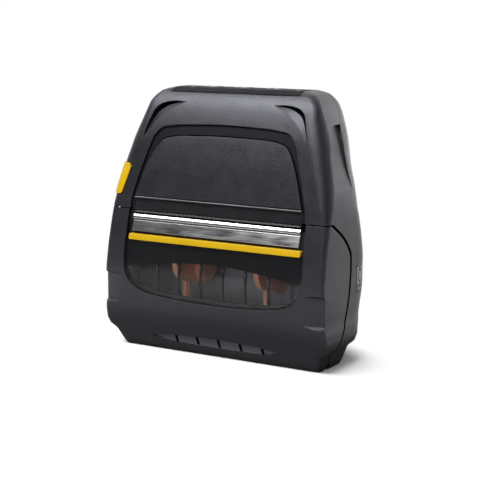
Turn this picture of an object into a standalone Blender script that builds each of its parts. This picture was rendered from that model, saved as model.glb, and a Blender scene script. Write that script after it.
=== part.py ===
"""Handheld mobile label printer, built as separate parts in metres.

The printer stands upright on the floor plane. X runs across the width, the
front looks along minus Y and Z points up. Every size below is in millimetres
and becomes metres where a mesh is made.
"""
import math

import bmesh
import bpy
from mathutils import Vector

MM = 0.001


def spread(shares, size):
    """Places written as shares of one size."""
    return tuple(share * size for share in shares)


def lifted(rises, place):
    """Places written as rises above one place."""
    return tuple(place + rise for rise in rises)


# Height of the body, whose skin and outlines follow it
BODY_HEIGHT = 158.0

# Media bay, which sets the width of everything around it
BAY_HALF = 59.6
SIDE_SPACE = 15.8
BODY_HALF = BAY_HALF + SIDE_SPACE

# Outer skin, one entry per height from the floor to the top
SKIN_HEIGHT_SHARES = (0.00000, 0.01582, 0.03797, 0.06329, 0.08544, 0.10759, 0.15190, 0.17722,
    0.29114, 0.37975, 0.46835, 0.54430, 0.59494, 0.65823, 0.72152, 0.77215, 0.82278, 0.87342,
    0.91772, 0.94937, 0.97468, 0.99051, 1.00000)
SKIN_HEIGHTS = spread(SKIN_HEIGHT_SHARES, BODY_HEIGHT)
HALF_WIDTH_SHARES = (0.9072, 0.9151, 0.9257, 0.9443, 1.0000, 1.0159, 1.0106, 1.0013, 1.0000,
    0.9973, 0.9934, 0.9907, 0.9841, 0.9655, 0.9377, 0.9111, 0.8793, 0.8395, 0.8011, 0.7719,
    0.7321, 0.6844, 0.6167)
HALF_WIDTHS = spread(HALF_WIDTH_SHARES, BODY_HALF)
FRONT_DEPTHS = (24.6, 26.4, 28.6, 30.6, 32.0, 33.2, 34.9, 35.4, 35.6, 34.2, 31.6, 29.0,
                27.6, 25.6, 23.5, 21.6, 19.6, 16.9, 14.0, 11.4, 8.4, 5.6, 1.2)
BACK_DEPTHS = (11.5, 14.0, 18.0, 21.4, 22.4, 24.4, 27.8, 29.2, 31.2, 31.2, 28.0, 23.0,
               21.6, 21.3, 21.3, 21.3, 21.3, 21.3, 21.3, 21.0, 20.0, 18.2, 14.5)
FRONT_RADII = (3.0, 2.5, 2.5, 2.5, 2.5, 2.5, 2.5, 2.5, 2.5, 3.0, 3.5, 4.5,
               6.5, 8.0, 9.5, 10.0, 10.0, 9.0, 7.0, 5.0, 4.5, 4.0, 4.0)
BACK_RADII = (14.0, 15.0, 18.0, 21.0, 22.0, 24.0, 26.0, 26.0, 22.5, 21.5, 19.5, 17.0,
              18.0, 18.0, 18.0, 16.0, 12.5, 9.5, 7.5, 7.0, 7.0, 6.0, 4.0)
FRONT_CORNER_STEPS = 5
BACK_CORNER_STEPS = 7
LEAST_RADIUS = 0.4
MITRE_LEAST_SHARE = 0.4
SMOOTH_ANGLE = math.radians(32.0)
CORNER_STEPS = 3
WALL = 2.4
FAR = 400.0
OVER = 3.0

# Side seam between the media cover and the main housing
SEAM_TOP_SHARE = 0.54177
SEAM_TOP = SEAM_TOP_SHARE * BODY_HEIGHT
SEAM_YS = (-24.0, -8.2, -3.6, -1.7, -1.2, -1.9, -4.0, -6.9, -13.4, -18.2)
SEAM_Z_SHARES = (0.54177, 0.47278, 0.44051, 0.42152, 0.38544, 0.32911, 0.25443, 0.20000, 0.12278,
    0.08861)
SEAM_ZS = spread(SEAM_Z_SHARES, BODY_HEIGHT)
SEAM_GAP = 0.35
HINGE_Y = -20.0
HINGE_Z = 5.0
BARREL_RADIUS = 4.2
BARREL_STEPS = 10
BARREL_START = math.radians(75.0)
BARREL_TURN = math.radians(165.0)
TOE_CLEAR = 0.8
COVER_FLOOR_BLOCK = 12.0

# Split between the main housing and the back cover
SPLIT_YS = (12.0, 9.6, 4.9, 4.0, 5.6, 8.0, 11.5, 16.0, 60.0)
SPLIT_Z_SHARES = (1.07595, 0.88861, 0.79747, 0.74051, 0.68354, 0.62025, 0.55696, 0.51266, 0.49747)
SPLIT_ZS = spread(SPLIT_Z_SHARES, BODY_HEIGHT)

# Shallow scoop in each side below the top, fading out downwards
SCOOP_YS = (7.6, -1.4, -7.2, -12.0, -15.9, -17.0, -16.0, 6.4, 2.8, 2.4, 4.2)
SCOOP_Z_SHARES = (0.88228, 0.87722, 0.85063, 0.80063, 0.74304, 0.67089, 0.62025, 0.62025,
    0.68987, 0.74684, 0.81013)
SCOOP_ZS = spread(SCOOP_Z_SHARES, BODY_HEIGHT)
SCOOP_DEPTH = 1.5
SCOOP_FADE = 38.0
SCOOP_FADE_HIGH = SCOOP_ZS[1]
SCOOP_FADE_LOW = SCOOP_FADE_HIGH - SCOOP_FADE
SCOOP_START = -0.25

# Arched opening, its dark frame and the fascia, half outlines from the bottom up
ARCH_X_SHARES = (0.7958, 0.7958, 0.7560, 0.7162, 0.6737, 0.6419, 0.5836, 0.4775, 0.2653, 0.0000)
ARCH_XS = spread(ARCH_X_SHARES, BODY_HALF)
ARCH_Z_SHARES = (0.50633, 0.56962, 0.65190, 0.71519, 0.77848, 0.82025, 0.85000, 0.86139, 0.86835,
    0.87152)
ARCH_ZS = spread(ARCH_Z_SHARES, BODY_HEIGHT)
FASCIA_X_SHARES = (0.7613, 0.7440, 0.7029, 0.6618, 0.6127, 0.5597, 0.4775, 0.2653, 0.0000)
FASCIA_XS = spread(FASCIA_X_SHARES, BODY_HALF)
FASCIA_Z_SHARES = (0.59114, 0.62025, 0.68354, 0.73418, 0.77848, 0.80759, 0.81962, 0.82658,
    0.82911)
FASCIA_ZS = spread(FASCIA_Z_SHARES, BODY_HEIGHT)
FIT = 0.3
FASCIA_THICK = 2.2
FRAME_SET_BACK = 1.3
TRIM_HEIGHT = 0.8
TRIM_HALF = FASCIA_XS[0]
TRIM_HIGH = FASCIA_ZS[0] - FIT
TRIM_LOW = TRIM_HIGH - TRIM_HEIGHT
LIP_MARGIN = 2.4
LIP_HEIGHT = 7.0
LIP_HALF = ARCH_XS[0] - LIP_MARGIN
LIP_HIGH = TRIM_LOW - FIT
LIP_LOW = LIP_HIGH - LIP_HEIGHT
LIP_SET_BACK = 1.4
LIP_THICK = 2.4

# Strap openings at the upper corners, right side outline
STRAP_X_SHARES = (0.4032, 0.4775, 0.5637, 0.6300, 0.6751, 0.7056, 0.7321, 0.7480, 0.7109, 0.6711,
    0.6286, 0.5782, 0.5066)
STRAP_XS = spread(STRAP_X_SHARES, BODY_HALF)
STRAP_Z_SHARES = (0.94873, 0.95063, 0.94810, 0.93924, 0.92278, 0.88861, 0.84810, 0.81329,
    0.83671, 0.86456, 0.88481, 0.90380, 0.92658)
STRAP_ZS = spread(STRAP_Z_SHARES, BODY_HEIGHT)
STRAP_HOLE_X_SHARES = (0.5371, 0.6233, 0.6671, 0.6963, 0.7109, 0.6525, 0.6101)
STRAP_HOLE_XS = spread(STRAP_HOLE_X_SHARES, BODY_HALF)
STRAP_HOLE_Z_SHARES = (0.94430, 0.93481, 0.91962, 0.88734, 0.85696, 0.89367, 0.91392)
STRAP_HOLE_ZS = spread(STRAP_HOLE_Z_SHARES, BODY_HEIGHT)
ANCHOR_X_SHARES = (0.3714, 0.5836, 0.6844, 0.7241, 0.7560, 0.7613, 0.6631, 0.5836, 0.4775)
ANCHOR_XS = spread(ANCHOR_X_SHARES, BODY_HALF)
ANCHOR_Z_SHARES = (0.95316, 0.95316, 0.93038, 0.89241, 0.82911, 0.80000, 0.82911, 0.86709,
    0.90506)
ANCHOR_ZS = spread(ANCHOR_Z_SHARES, BODY_HEIGHT)
ANCHOR_FRONT = 2.7
ANCHOR_BACK = 7.6
POST_RADIUS = 1.1
POST_INSET = 0.9
POST_START = (STRAP_HOLE_XS[0] - POST_INSET, -8.6, 143.6)
POST_END = (STRAP_HOLE_XS[4], -9.2, 141.4)

# Media cover front
OPENING_X_SHARES = (0.8011, 0.8143, 0.8170, 0.8090, 0.7772, 0.7241, 0.6499, 0.5040, 0.2653,
    0.0000)
OPENING_XS = spread(OPENING_X_SHARES, BODY_HALF)
OPENING_Z_SHARES = (0.60127, 0.41772, 0.36709, 0.32278, 0.27848, 0.25063, 0.23418, 0.22278,
    0.21392, 0.21076)
OPENING_ZS = spread(OPENING_Z_SHARES, BODY_HEIGHT)
PANEL_GAP = 0.35
STRIPS_HEIGHT = 18.7
WINDOW_TOP = SEAM_TOP - STRIPS_HEIGHT
WINDOW_FRONT = 0.35
WINDOW_THICK = 1.85
WINDOW_BACK = WINDOW_FRONT + WINDOW_THICK
SKIN_GAP = 0.05
MASK_SHEET = 0.4
MASK_FRONT = WINDOW_BACK + SKIN_GAP
MASK_BACK = MASK_FRONT + MASK_SHEET
VIEW_SIDE = 3.9
VIEW_HALF = OPENING_XS[0] - VIEW_SIDE
VIEW_X_SHARES = (0.7507, 0.7546, 0.7347, 0.6950, 0.6313, 0.4987, 0.2653, 0.0000)
VIEW_XS = spread(VIEW_X_SHARES, BODY_HALF)
VIEW_Z_SHARES = (0.32025, 0.29494, 0.26709, 0.25316, 0.24430, 0.23544, 0.22911, 0.22658)
VIEW_ZS = spread(VIEW_Z_SHARES, BODY_HEIGHT)
MASK_BAND = 10.1
VIEW_CROWN = WINDOW_TOP - MASK_BAND
VIEW_CROWN_DROP = 6.2
VIEW_STEPS = 12
VIEW_MARGIN = 1.5
FRAME_GAP = 0.1
FRAME_SHEET = 1.45
FRAME_FRONT = MASK_BACK + FRAME_GAP
FRAME_BACK = FRAME_FRONT + FRAME_SHEET
FRAME_OVERLAP = 0.5
FRAME_HALF = OPENING_XS[0] + FRAME_OVERLAP
FRAME_BELOW = 6.3
FRAME_ABOVE = 5.0
FRAME_LOW = OPENING_ZS[-1] - FRAME_BELOW
FRAME_HIGH = SEAM_TOP - FRAME_ABOVE
RIB_COUNT = 8
RIB_SPREAD_SHARE = 0.951
RIB_PITCH = 2 * VIEW_HALF * RIB_SPREAD_SHARE / (RIB_COUNT - 1)
RIB_WIDTH = 1.6
STRIPE_SIDE = 1.2
STRIPE_HALF = OPENING_XS[0] - STRIPE_SIDE
STRIPE_HEIGHT = 3.6
STRIPE_CORNER = 1.4
STRIPE_LOW = WINDOW_TOP + FIT
STRIPE_HIGH = STRIPE_LOW + STRIPE_HEIGHT
STRIPE_FRONT = 0.05
STRIPE_SEAT_GAP = 0.15
STRIPE_BACK = FRAME_FRONT - STRIPE_SEAT_GAP
GUIDE_SIDE = 3.0
GUIDE_HALF = OPENING_XS[0] - GUIDE_SIDE
GUIDE_SPACE = 1.6
GUIDE_HEIGHT = 6.7
GUIDE_LOW = STRIPE_HIGH + GUIDE_SPACE
GUIDE_HIGH = GUIDE_LOW + GUIDE_HEIGHT
GUIDE_FRONT = 0.35
TEAR_SPACE = 0.6
TEAR_HEIGHT = 2.7
TEAR_LOW = GUIDE_HIGH + TEAR_SPACE
TEAR_HIGH = TEAR_LOW + TEAR_HEIGHT

# Finger recess and the lower grip of the cover
RECESS_HEIGHT = 21.0
RECESS_DROP = 38.0
RECESS_HIGH = SEAM_TOP - RECESS_DROP
RECESS_LOW = RECESS_HIGH - RECESS_HEIGHT
RECESS_REACH = 12.8
RECESS_OVERRUN = 4.6
RECESS_INNER = BODY_HALF - RECESS_REACH
RECESS_OUTER = BODY_HALF + RECESS_OVERRUN
RECESS_DEPTH = 4.4
RECESS_SLOPE = 2.2
BACKING_BELOW = 4.6
BACKING_ABOVE = 5.4
BACKING_LOW = RECESS_LOW - BACKING_BELOW
BACKING_HIGH = RECESS_HIGH + BACKING_ABOVE
BACKING_WALL = 3.6
BACKING_Y = -(max(FRONT_DEPTHS) - RECESS_DEPTH - BACKING_WALL)
GRIP_X_SHARES = (-0.5968, -0.5040, -0.3581, -0.1194, 0.1194, 0.3581, 0.5040, 0.5968, 0.4775,
    0.2918, 0.0928, -0.0928, -0.2918, -0.4775)
GRIP_XS = spread(GRIP_X_SHARES, BODY_HALF)
GRIP_Z_SHARES = (0.05696, 0.06519, 0.07278, 0.07722, 0.07722, 0.07278, 0.06519, 0.05696, 0.04494,
    0.04177, 0.04051, 0.04051, 0.04177, 0.04494)
GRIP_ZS = spread(GRIP_Z_SHARES, BODY_HEIGHT)
GRIP_DEPTH = 1.2
SLOT_DEPTH = 2.8
SLOT_LOW = 6.6
SLOT_HIGH = 11.5
SLOT_PITCH = 15.0
SLOT_COUNT = 5
SLOT_SHIFT = 1.0
SLOT_HALF_WIDTH = 0.9
SLOT_SLANT = 2.4

# Cover hinge
LUG_SIDE = 3.6
LUG_WIDTH = 8.0
LUG_OUTER = BAY_HALF - LUG_SIDE
LUG_INNER = LUG_OUTER - LUG_WIDTH
LUG_RADIUS = 3.7
LUG_BACK = -13.0
LUG_LOW = 1.4
LUG_HIGH = 8.4
SLOT_CLEAR = 0.4
HINGE_PIN_RADIUS = 1.5
HINGE_PIN_SLACK = 0.15
HINGE_PIN_SUNK = 3.4
HINGE_PIN_PROUD = 4.0
HINGE_PIN_INNER = LUG_INNER - HINGE_PIN_SUNK
HINGE_PIN_OUTER = LUG_OUTER + HINGE_PIN_PROUD
SNUG = SKIN_GAP

# Platen roller and gear train
PLATEN_Y = -18.5
PLATEN_DROP = 8.8
PLATEN_Z = SEAM_TOP - PLATEN_DROP
RUBBER_RADIUS = 5.2
RUBBER_SIDE = 5.6
RUBBER_HALF = BAY_HALF - RUBBER_SIDE
ROLLER_SIDES = 32
SHAFT_RADIUS = 2.0
GEAR_MODULE = 0.8
GEAR_BACKLASH = 0.15
TIP_SHARE = 0.9
ROOT_SHARE = 1.25
ROOT_HALF_SHARE = 0.29
TIP_HALF_SHARE = 0.12
PLATEN_TEETH = 16
IDLER_TEETH = 24
PINION_TEETH = 10
IDLER_BEARING = math.radians(10.0)
PINION_BEARING = math.radians(40.0)
BUSH_RADIUS = 3.1
BUSH_SPACE = 0.9
BUSH_LENGTH = 6.9
BUSH_INNER = RUBBER_HALF + BUSH_SPACE
BUSH_OUTER = BUSH_INNER + BUSH_LENGTH
SHAFT_PROUD = 0.6
SHAFT_RIGHT = BUSH_OUTER + SHAFT_PROUD
EAR_INNER = BUSH_INNER + FIT
EAR_SHEET = 2.0
EAR_OUTER = EAR_INNER + EAR_SHEET
EAR_BACK = -14.6
EAR_BELOW = 5.2
EAR_LOW = PLATEN_Z - EAR_BELOW
EAR_HIGH = FRAME_HIGH
CARRIER_SHEET = 1.5
CARRIER_BELOW = 6.2
CARRIER_LOW = PLATEN_Z - CARRIER_BELOW

# Print mechanism in the main housing
HEAD_MARGIN = 1.0
HEAD_HALF = RUBBER_HALF + HEAD_MARGIN
HEAD_FRONT = -24.0
HEAD_BACK = -7.0
HEAD_GAP = 0.25
HEAD_THICK = 2.55
HEAD_LOW = PLATEN_Z + RUBBER_RADIUS + HEAD_GAP
HEAD_HIGH = HEAD_LOW + HEAD_THICK
SINK_MARGIN = 3.0
SINK_HALF = HEAD_HALF - SINK_MARGIN
SINK_FRONT = -22.6
SINK_BACK = -8.4
SINK_FLOOR = 1.5
SINK_HEIGHT = 5.1
SINK_LOW = HEAD_HIGH + FIT
SINK_BASE = SINK_LOW + SINK_FLOOR
SINK_HIGH = SINK_LOW + SINK_HEIGHT
SINK_FINS = 5
SPRING_X = 30.0
SPRING_Y = -15.5
SPRING_RADIUS = 2.6
SPRING_WIRE = 0.45
SPRING_TURNS = 3
SPRING_STEPS = 8
WIRE_SIDES = 4
BRACKET_SIDE = 3.4
BRACKET_HALF = HEAD_HALF + BRACKET_SIDE
GEAR_WIDTH = 3.0
GEAR_SPACE = 6.1
GEAR_INNER_X = -(BRACKET_HALF + GEAR_SPACE)
GEAR_OUTER_X = GEAR_INNER_X - GEAR_WIDTH
BRACKET_SHEET = 1.4
BRACKET_FRONT = -22.0
BRACKET_LIP_FRONT = -24.6
BRACKET_LIP_SIDE = 10.4
BRACKET_LIP_HALF = BRACKET_HALF - BRACKET_LIP_SIDE
BRACKET_BACK = -0.4
CHEEK_RISE = 1.95
BRACKET_ROOM = 5.4
BRACKET_LOW = HEAD_LOW + CHEEK_RISE
BRACKET_HIGH = SINK_HIGH + BRACKET_ROOM
SPRING_LOW = SINK_HIGH + FIT
SPRING_HIGH = BRACKET_HIGH - BRACKET_SHEET - FIT
MOTOR_PLATE_BACK = 17.4
MOTOR_PLATE_FRONT = -13.6
MOTOR_PLATE_LOW = PLATEN_Z
MOTOR_RADIUS = 7.8
MOTOR_LENGTH = 18.0
MOTOR_LEFT = -(BRACKET_HALF - BRACKET_SHEET - FIT)
MOTOR_RIGHT = MOTOR_LEFT + MOTOR_LENGTH
PINION_BORE = 1.0
IDLER_POST_RADIUS = 1.5
TURN_SLACK = 0.15
LATCH_Y = -3.6
LATCH_RISE = 13.4
LATCH_Z = PLATEN_Z + LATCH_RISE
LATCH_RADIUS = 1.8
LATCH_INSET = 0.4
LATCH_END = BUSH_OUTER - LATCH_INSET
HOOK_WIDTH = 2.2
HOOK_INNER = LATCH_END - HOOK_WIDTH
HOOK_YS = (-0.8, -0.8, -6.0, -13.6, -17.0, -17.6, -21.6, -22.6, -20.0, -12.0, -6.0)
HOOK_ZS = lifted((-1.2, 2.4, 3.8, 1.2, -3.0, -5.6, -7.8, -9.8, -10.0, -6.0, -3.0), LATCH_Z)
EXIT_BAR_SIDE = 0.8
EXIT_BAR_HALF = LIP_HALF - EXIT_BAR_SIDE
EXIT_BAR_RISE = 1.35
EXIT_BAR_LOW = HEAD_LOW + EXIT_BAR_RISE
EXIT_BAR_SHEET = 0.9
EXIT_BAR_HIGH = EXIT_BAR_LOW + EXIT_BAR_SHEET
EXIT_BAR_FRONT = -28.8
EXIT_BAR_BACK = -24.6
EXIT_TEETH = 40
EXIT_TOOTH_DEPTH = 0.7

# Media bay
BAY_Y = -0.2
BAY_DROP = 36.6
BAY_Z = SEAM_TOP - BAY_DROP
BAY_RADIUS = 26.0
BAY_SHEET = 1.2
BAY_START = math.radians(-108.0)
BAY_END = math.radians(98.0)
BAY_STEPS = 17
PLATE_YS = (-20.4, -20.4, -15.0, -8.0, 0.0, 10.8, 19.8, 25.4, 26.5, 25.4, 19.8, 10.8, 0.0,
            -9.0, -17.0, -20.4)
PLATE_ZS = lifted((-11.0, -19.0, -26.4, -27.2, -27.1, -24.6, -18.2, -7.4, 0.0, 7.4, 18.2, 24.6,
        27.1, 25.2, 17.0, 11.0), BAY_Z)
RAIL_FRONT = -17.8
RAIL_DEPTH = 4.0
RAIL_BACK = RAIL_FRONT + RAIL_DEPTH
RAIL_DROP = 24.0
RAIL_LOW = BAY_Z - RAIL_DROP
RAIL_HEIGHT = 3.0
RAIL_HIGH = RAIL_LOW + RAIL_HEIGHT
RAIL_HALF = BAY_HALF - FIT
LOBE_Y = -16.0
LOBE_RISE = 6.0
LOBE_Z = BAY_Z + LOBE_RISE
LOBE_RADIUS = 13.0
LOBE_STEPS = 18
HUB_RADIUS = 9.0
HUB_LENGTH = 5.0
TAIL_RADIUS = 12.0
GUIDE_X = 27.0
GUIDE_SHEET = 2.4
STEM_FRONT = -18.2
STEM_BACK = -13.4
FOOT_LENGTH = 9.0
FOOT_MARGIN = 1.8
FOOT_CLEAR = 0.3

# Electronics and side ports
BOARD_SEAT_GAP = 0.5
BOARD_X = BAY_HALF + BAY_SHEET + BOARD_SEAT_GAP
BOARD_SHEET = 1.6
BOARD_FRONT = -2.0
BOARD_BACK = 20.6
BOARD_DROP = 13.0
BOARD_HEIGHT = 38.0
BOARD_LOW = BAY_Z - BOARD_DROP
BOARD_HIGH = BOARD_LOW + BOARD_HEIGHT
SOCKET_SET_BACK = 5.8
SOCKET_RIGHT = BODY_HALF - SOCKET_SET_BACK
SOCKET_FLOOR = 1.0
USB_RIM = 0.5
USB_FRONT = 12.9
USB_WIDTH = 7.5
USB_BACK = USB_FRONT + USB_WIDTH
USB_RISE = 9.0
USB_LOW = BOARD_LOW + USB_RISE
USB_HEIGHT = 3.2
USB_HIGH = USB_LOW + USB_HEIGHT
DC_FRONT = 12.6
DC_WIDTH = 8.0
DC_BACK = DC_FRONT + DC_WIDTH
DC_SPACE = 3.2
DC_HEIGHT = 9.0
DC_LOW = USB_HIGH + DC_SPACE
DC_HIGH = DC_LOW + DC_HEIGHT
DC_BORE = 2.75
DOOR_FRONT = 6.0
DOOR_BACK = 22.8
DOOR_BELOW = 3.0
DOOR_ABOVE = 3.6
DOOR_LOW = USB_LOW - DOOR_BELOW
DOOR_HIGH = DC_HIGH + DOOR_ABOVE
DOOR_MIDDLE = (DOOR_LOW + DOOR_HIGH) / 2
DOOR_THICK = 1.0
DOOR_SEAT_GAP = 0.6
HOLE_INSET = 1.8

# Battery, its tray and its latch
PACK_HALF = 36.6
PACK_HEIGHT = 47.0
PACK_TOP_SPACE = 11.6
PACK_HIGH = BODY_HEIGHT - PACK_TOP_SPACE
PACK_LOW = PACK_HIGH - PACK_HEIGHT
PACK_FRONT = 3.4
PACK_BACK = 21.2
TRAY_SHEET = 1.2
TRAY_FRONT = 1.8
TRAY_BACK = 18.6
CONTACT_HALF = 9.0
CONTACT_HEIGHT = 4.0
CONTACT_HIGH = PACK_LOW + CONTACT_HEIGHT
CONTACT_DEPTH = 7.6
NOTCH_DEPTH = 8.0
BLADE_HALF = 0.5
BLADE_START = 1.0
BLADE_END = 6.0
BLADE_SUNK = 1.0
CONTACT_RISE = 1.4
BLADE_COUNT = 4
CATCH_HALF = 7.0
CATCH_SPACE = 0.8
CATCH_HEIGHT = 3.2
CATCH_LOW = PACK_HIGH + CATCH_SPACE
CATCH_HIGH = CATCH_LOW + CATCH_HEIGHT
CATCH_TRAVEL = 2.0
CATCH_FRONT = 16.0
CATCH_BACK = 21.6
SCREW_SIDE = 7.4
SCREW_X = PACK_HALF + SCREW_SIDE
SCREW_LOW_DROP = 10.4
SCREW_HIGH_DROP = 13.4
SCREW_LOW_Z = PACK_LOW - SCREW_LOW_DROP
SCREW_HIGH_Z = PACK_HIGH - SCREW_HIGH_DROP
SCREW_RADIUS = 2.3
SCREW_HEAD = 1.8
SHANK_RADIUS = 1.2
SCREW_DEPTH = 5.0
HEX_RADIUS = 1.1
HEX_SIDES = 6
HEX_DEPTH = 1.0

# Top control panel
PANEL_HALF = 44.0
PANEL_FRONT = -9.0
PANEL_BACK = 13.4
PANEL_SHEET = 2.4
PANEL_LOW = BODY_HEIGHT - PANEL_SHEET
KEY_PITCH = PANEL_HALF / 2
KEY_Y = 5.2
KEY_HALF_WIDTH = 6.4
KEY_HALF_DEPTH = 3.4
KEY_CORNER = 2.2
KEY_PROUD = 0.7
KEY_HIGH = BODY_HEIGHT + KEY_PROUD
KEY_TRAVEL = 0.8
KEY_REST_GAP = 0.4
KEY_BOARD_SIDE = 4.0
KEY_BOARD_HALF = PANEL_HALF - KEY_BOARD_SIDE
KEY_BOARD_FRONT = -3.0
KEY_BOARD_BACK = 14.0
KEY_BOARD_SHEET = 1.6
KEY_BOARD_LOW = PACK_HIGH + FIT + TRAY_SHEET + FIT
KEY_BOARD_HIGH = KEY_BOARD_LOW + KEY_BOARD_SHEET
KEY_LOW = KEY_BOARD_HIGH + KEY_TRAVEL + KEY_REST_GAP
LENS_SIDE = 7.5
LENS_X = PANEL_HALF - LENS_SIDE
LENS_RADIUS = 1.3
LENS_PROUD = 0.05
LENS_HIGH = BODY_HEIGHT + LENS_PROUD

# Release button on the left side
BUTTON_FACE_X_SHARES = (-0.8249, -0.8873, -0.9019, -1.1936, -1.1936, -0.8408)
BUTTON_FACE_XS = spread(BUTTON_FACE_X_SHARES, BODY_HALF)
BUTTON_FACE_Z_SHARES = (0.69747, 0.60253, 0.59494, 0.59494, 0.71139, 0.71139)
BUTTON_FACE_ZS = spread(BUTTON_FACE_Z_SHARES, BODY_HEIGHT)
BUTTON_BACK = -6.0
BUTTON_BACK_GAP = 1.8
BUTTON_PROUD = 0.8
BUTTON_THICK = 2.0
BUTTON_PIVOT_SET_BACK = 10.0
BUTTON_PIVOT_X = BUTTON_PIVOT_SET_BACK - BODY_HALF
BUTTON_PIVOT_Y = -22.0
PUSH_ROD_REACH = 10.4
PUSH_ROD_END = PUSH_ROD_REACH - BODY_HALF
PUSH_ROD_FRONT = -10.6
PUSH_ROD_BACK = -7.6
PUSH_ROD_RISE = 11.4
PUSH_ROD_HEIGHT = 3.0
PUSH_ROD_LOW = SEAM_TOP + PUSH_ROD_RISE
PUSH_ROD_HIGH = PUSH_ROD_LOW + PUSH_ROD_HEIGHT
ROD_SPACE = 1.6
RETURN_SPRING_LEFT = PUSH_ROD_END + ROD_SPACE
RETURN_SPRING_RIGHT = -(BRACKET_HALF + FIT)
SPRING_TAB_MARGIN = 1.5
SIDES = 16
PIN_SIDES = 12


def clear_scene():
    """Remove every object of the start-up scene."""
    for obj in list(bpy.data.objects):
        bpy.data.objects.remove(obj, do_unlink=True)


def material(name, rgb, rough, metal=0.0, clear=0.0):
    """One Principled material."""
    mat = bpy.data.materials.new(name)
    mat.use_nodes = True
    shader = mat.node_tree.nodes["Principled BSDF"]
    shader.inputs["Base Color"].default_value = (*rgb, 1.0)
    shader.inputs["Roughness"].default_value = rough
    shader.inputs["Metallic"].default_value = metal
    shader.inputs["Transmission Weight"].default_value = clear
    mat.diffuse_color = (*rgb, 1.0)
    return mat


def make_object(name, verts, faces):
    """Mesh object from points in millimetres."""
    mesh = bpy.data.meshes.new(name)
    mesh.from_pydata([Vector(v) * MM for v in verts], [], faces)
    mesh.update()
    tidy = bmesh.new()
    tidy.from_mesh(mesh)
    bmesh.ops.recalc_face_normals(tidy, faces=tidy.faces)
    tidy.to_mesh(mesh)
    tidy.free()
    obj = bpy.data.objects.new(name, mesh)
    bpy.context.scene.collection.objects.link(obj)
    return obj


def level(height):
    """Skin sizes at one height, linear between the entries."""
    rows = (HALF_WIDTHS, FRONT_DEPTHS, BACK_DEPTHS, FRONT_RADII, BACK_RADII)
    last = len(SKIN_HEIGHTS) - 1
    step = 0
    while step < last - 1 and height > SKIN_HEIGHTS[step + 1]:
        step += 1
    share = (height - SKIN_HEIGHTS[step]) / (SKIN_HEIGHTS[step + 1] - SKIN_HEIGHTS[step])
    share = min(max(share, 0.0), 1.0)
    return [row[step] + (row[step + 1] - row[step]) * share for row in rows]


def side_x(depth, height):
    """Right side of the skin at a depth within its rear corner."""
    half, front, back, front_r, back_r = level(height)
    rise = depth - (back - back_r)
    return half - back_r + math.sqrt(back_r * back_r - rise * rise)


def corner(cx, cy, radius, start, steps):
    """Points of a quarter turn from the start angle."""
    points = []
    for i in range(steps + 1):
        angle = start + math.pi / 2 * i / steps
        points.append((cx + radius * math.cos(angle), cy + radius * math.sin(angle)))
    return points


def ring(height, inset):
    """Closed outline of the skin at one height."""
    half, front, back, front_r, back_r = level(height)
    half -= inset
    front -= inset
    back -= inset
    front_r = max(front_r - inset, LEAST_RADIUS)
    back_r = max(back_r - inset, LEAST_RADIUS)
    right_back = corner(half - back_r, back - back_r, back_r, 0.0, BACK_CORNER_STEPS)
    left_back = [(-x, y) for x, y in reversed(right_back)]
    right_front = corner(half - front_r, front_r - front, front_r, -math.pi / 2,
                         FRONT_CORNER_STEPS)
    left_front = [(-x, y) for x, y in reversed(right_front)]
    return right_front + right_back + left_back + left_front


def scoop_floor(name):
    """Outer form whose inset grows with height, as floor of the side scoops."""
    def inset_at(height):
        share = (height - SCOOP_FADE_LOW) / (SCOOP_FADE_HIGH - SCOOP_FADE_LOW)
        return SCOOP_START + (SCOOP_DEPTH - SCOOP_START) * min(max(share, 0.0), 1.0)
    return loft(name, list(SKIN_HEIGHTS), inset_at)


def skin(name, inset):
    """Solid of the whole outer form, offset inwards by the inset."""
    low = max(inset, 0.0)
    high = SKIN_HEIGHTS[-1] - max(inset, 0.0)
    heights = [low] + [h for h in SKIN_HEIGHTS if low < h < high] + [high]
    return loft(name, heights, lambda height: inset)


def loft(name, heights, inset_at):
    """Solid through the skin outlines at the given heights."""
    verts = []
    faces = []
    count = 0
    for height in heights:
        loop = ring(height, inset_at(height))
        count = len(loop)
        verts += [(x, y, height) for x, y in loop]
    for row in range(len(heights) - 1):
        for i in range(count):
            j = (i + 1) % count
            base = row * count
            faces.append((base + i, base + j, base + count + j, base + count + i))
    faces.append(tuple(reversed(range(count))))
    faces.append(tuple(range(len(verts) - count, len(verts))))
    return make_object(name, verts, faces)


def prism(name, axis, outline, low, high):
    """Outline pushed along one axis between two positions."""
    verts = []
    for position in (low, high):
        for a, b in outline:
            if axis == "X":
                verts.append((position, a, b))
            elif axis == "Y":
                verts.append((a, position, b))
            else:
                verts.append((a, b, position))
    count = len(outline)
    faces = [(i, (i + 1) % count, count + (i + 1) % count, count + i) for i in range(count)]
    faces.append(tuple(range(count)))
    faces.append(tuple(range(count, count + count)))
    return make_object(name, verts, faces)


def block(name, xs, ys, zs):
    """Box between pairs of limits."""
    outline = [(xs[0], ys[0]), (xs[1], ys[0]), (xs[1], ys[1]), (xs[0], ys[1])]
    return prism(name, "Z", outline, zs[0], zs[1])


def circle(cy, cz, radius, sides):
    """Round outline, flats set so that the corners lie on the radius."""
    turn = 2 * math.pi / sides
    return [(cy + radius * math.cos(turn * i), cz + radius * math.sin(turn * i))
            for i in range(sides)]


def rod(name, axis, centre, radius, low, high, sides=SIDES):
    """Round bar along one axis."""
    return prism(name, axis, circle(centre[0], centre[1], radius, sides), low, high)


def combine(target, other, operation):
    """Boolean of two solids; the second one is used up."""
    step = target.modifiers.new("combine", "BOOLEAN")
    step.operation = operation
    step.solver = "EXACT"
    step.object = other
    graph = bpy.context.evaluated_depsgraph_get()
    mesh = bpy.data.meshes.new_from_object(target.evaluated_get(graph))
    target.modifiers.remove(step)
    old = target.data
    target.data = mesh
    mesh.name = target.name
    bpy.data.meshes.remove(old)
    bpy.data.objects.remove(other, do_unlink=True)
    return target


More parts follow.
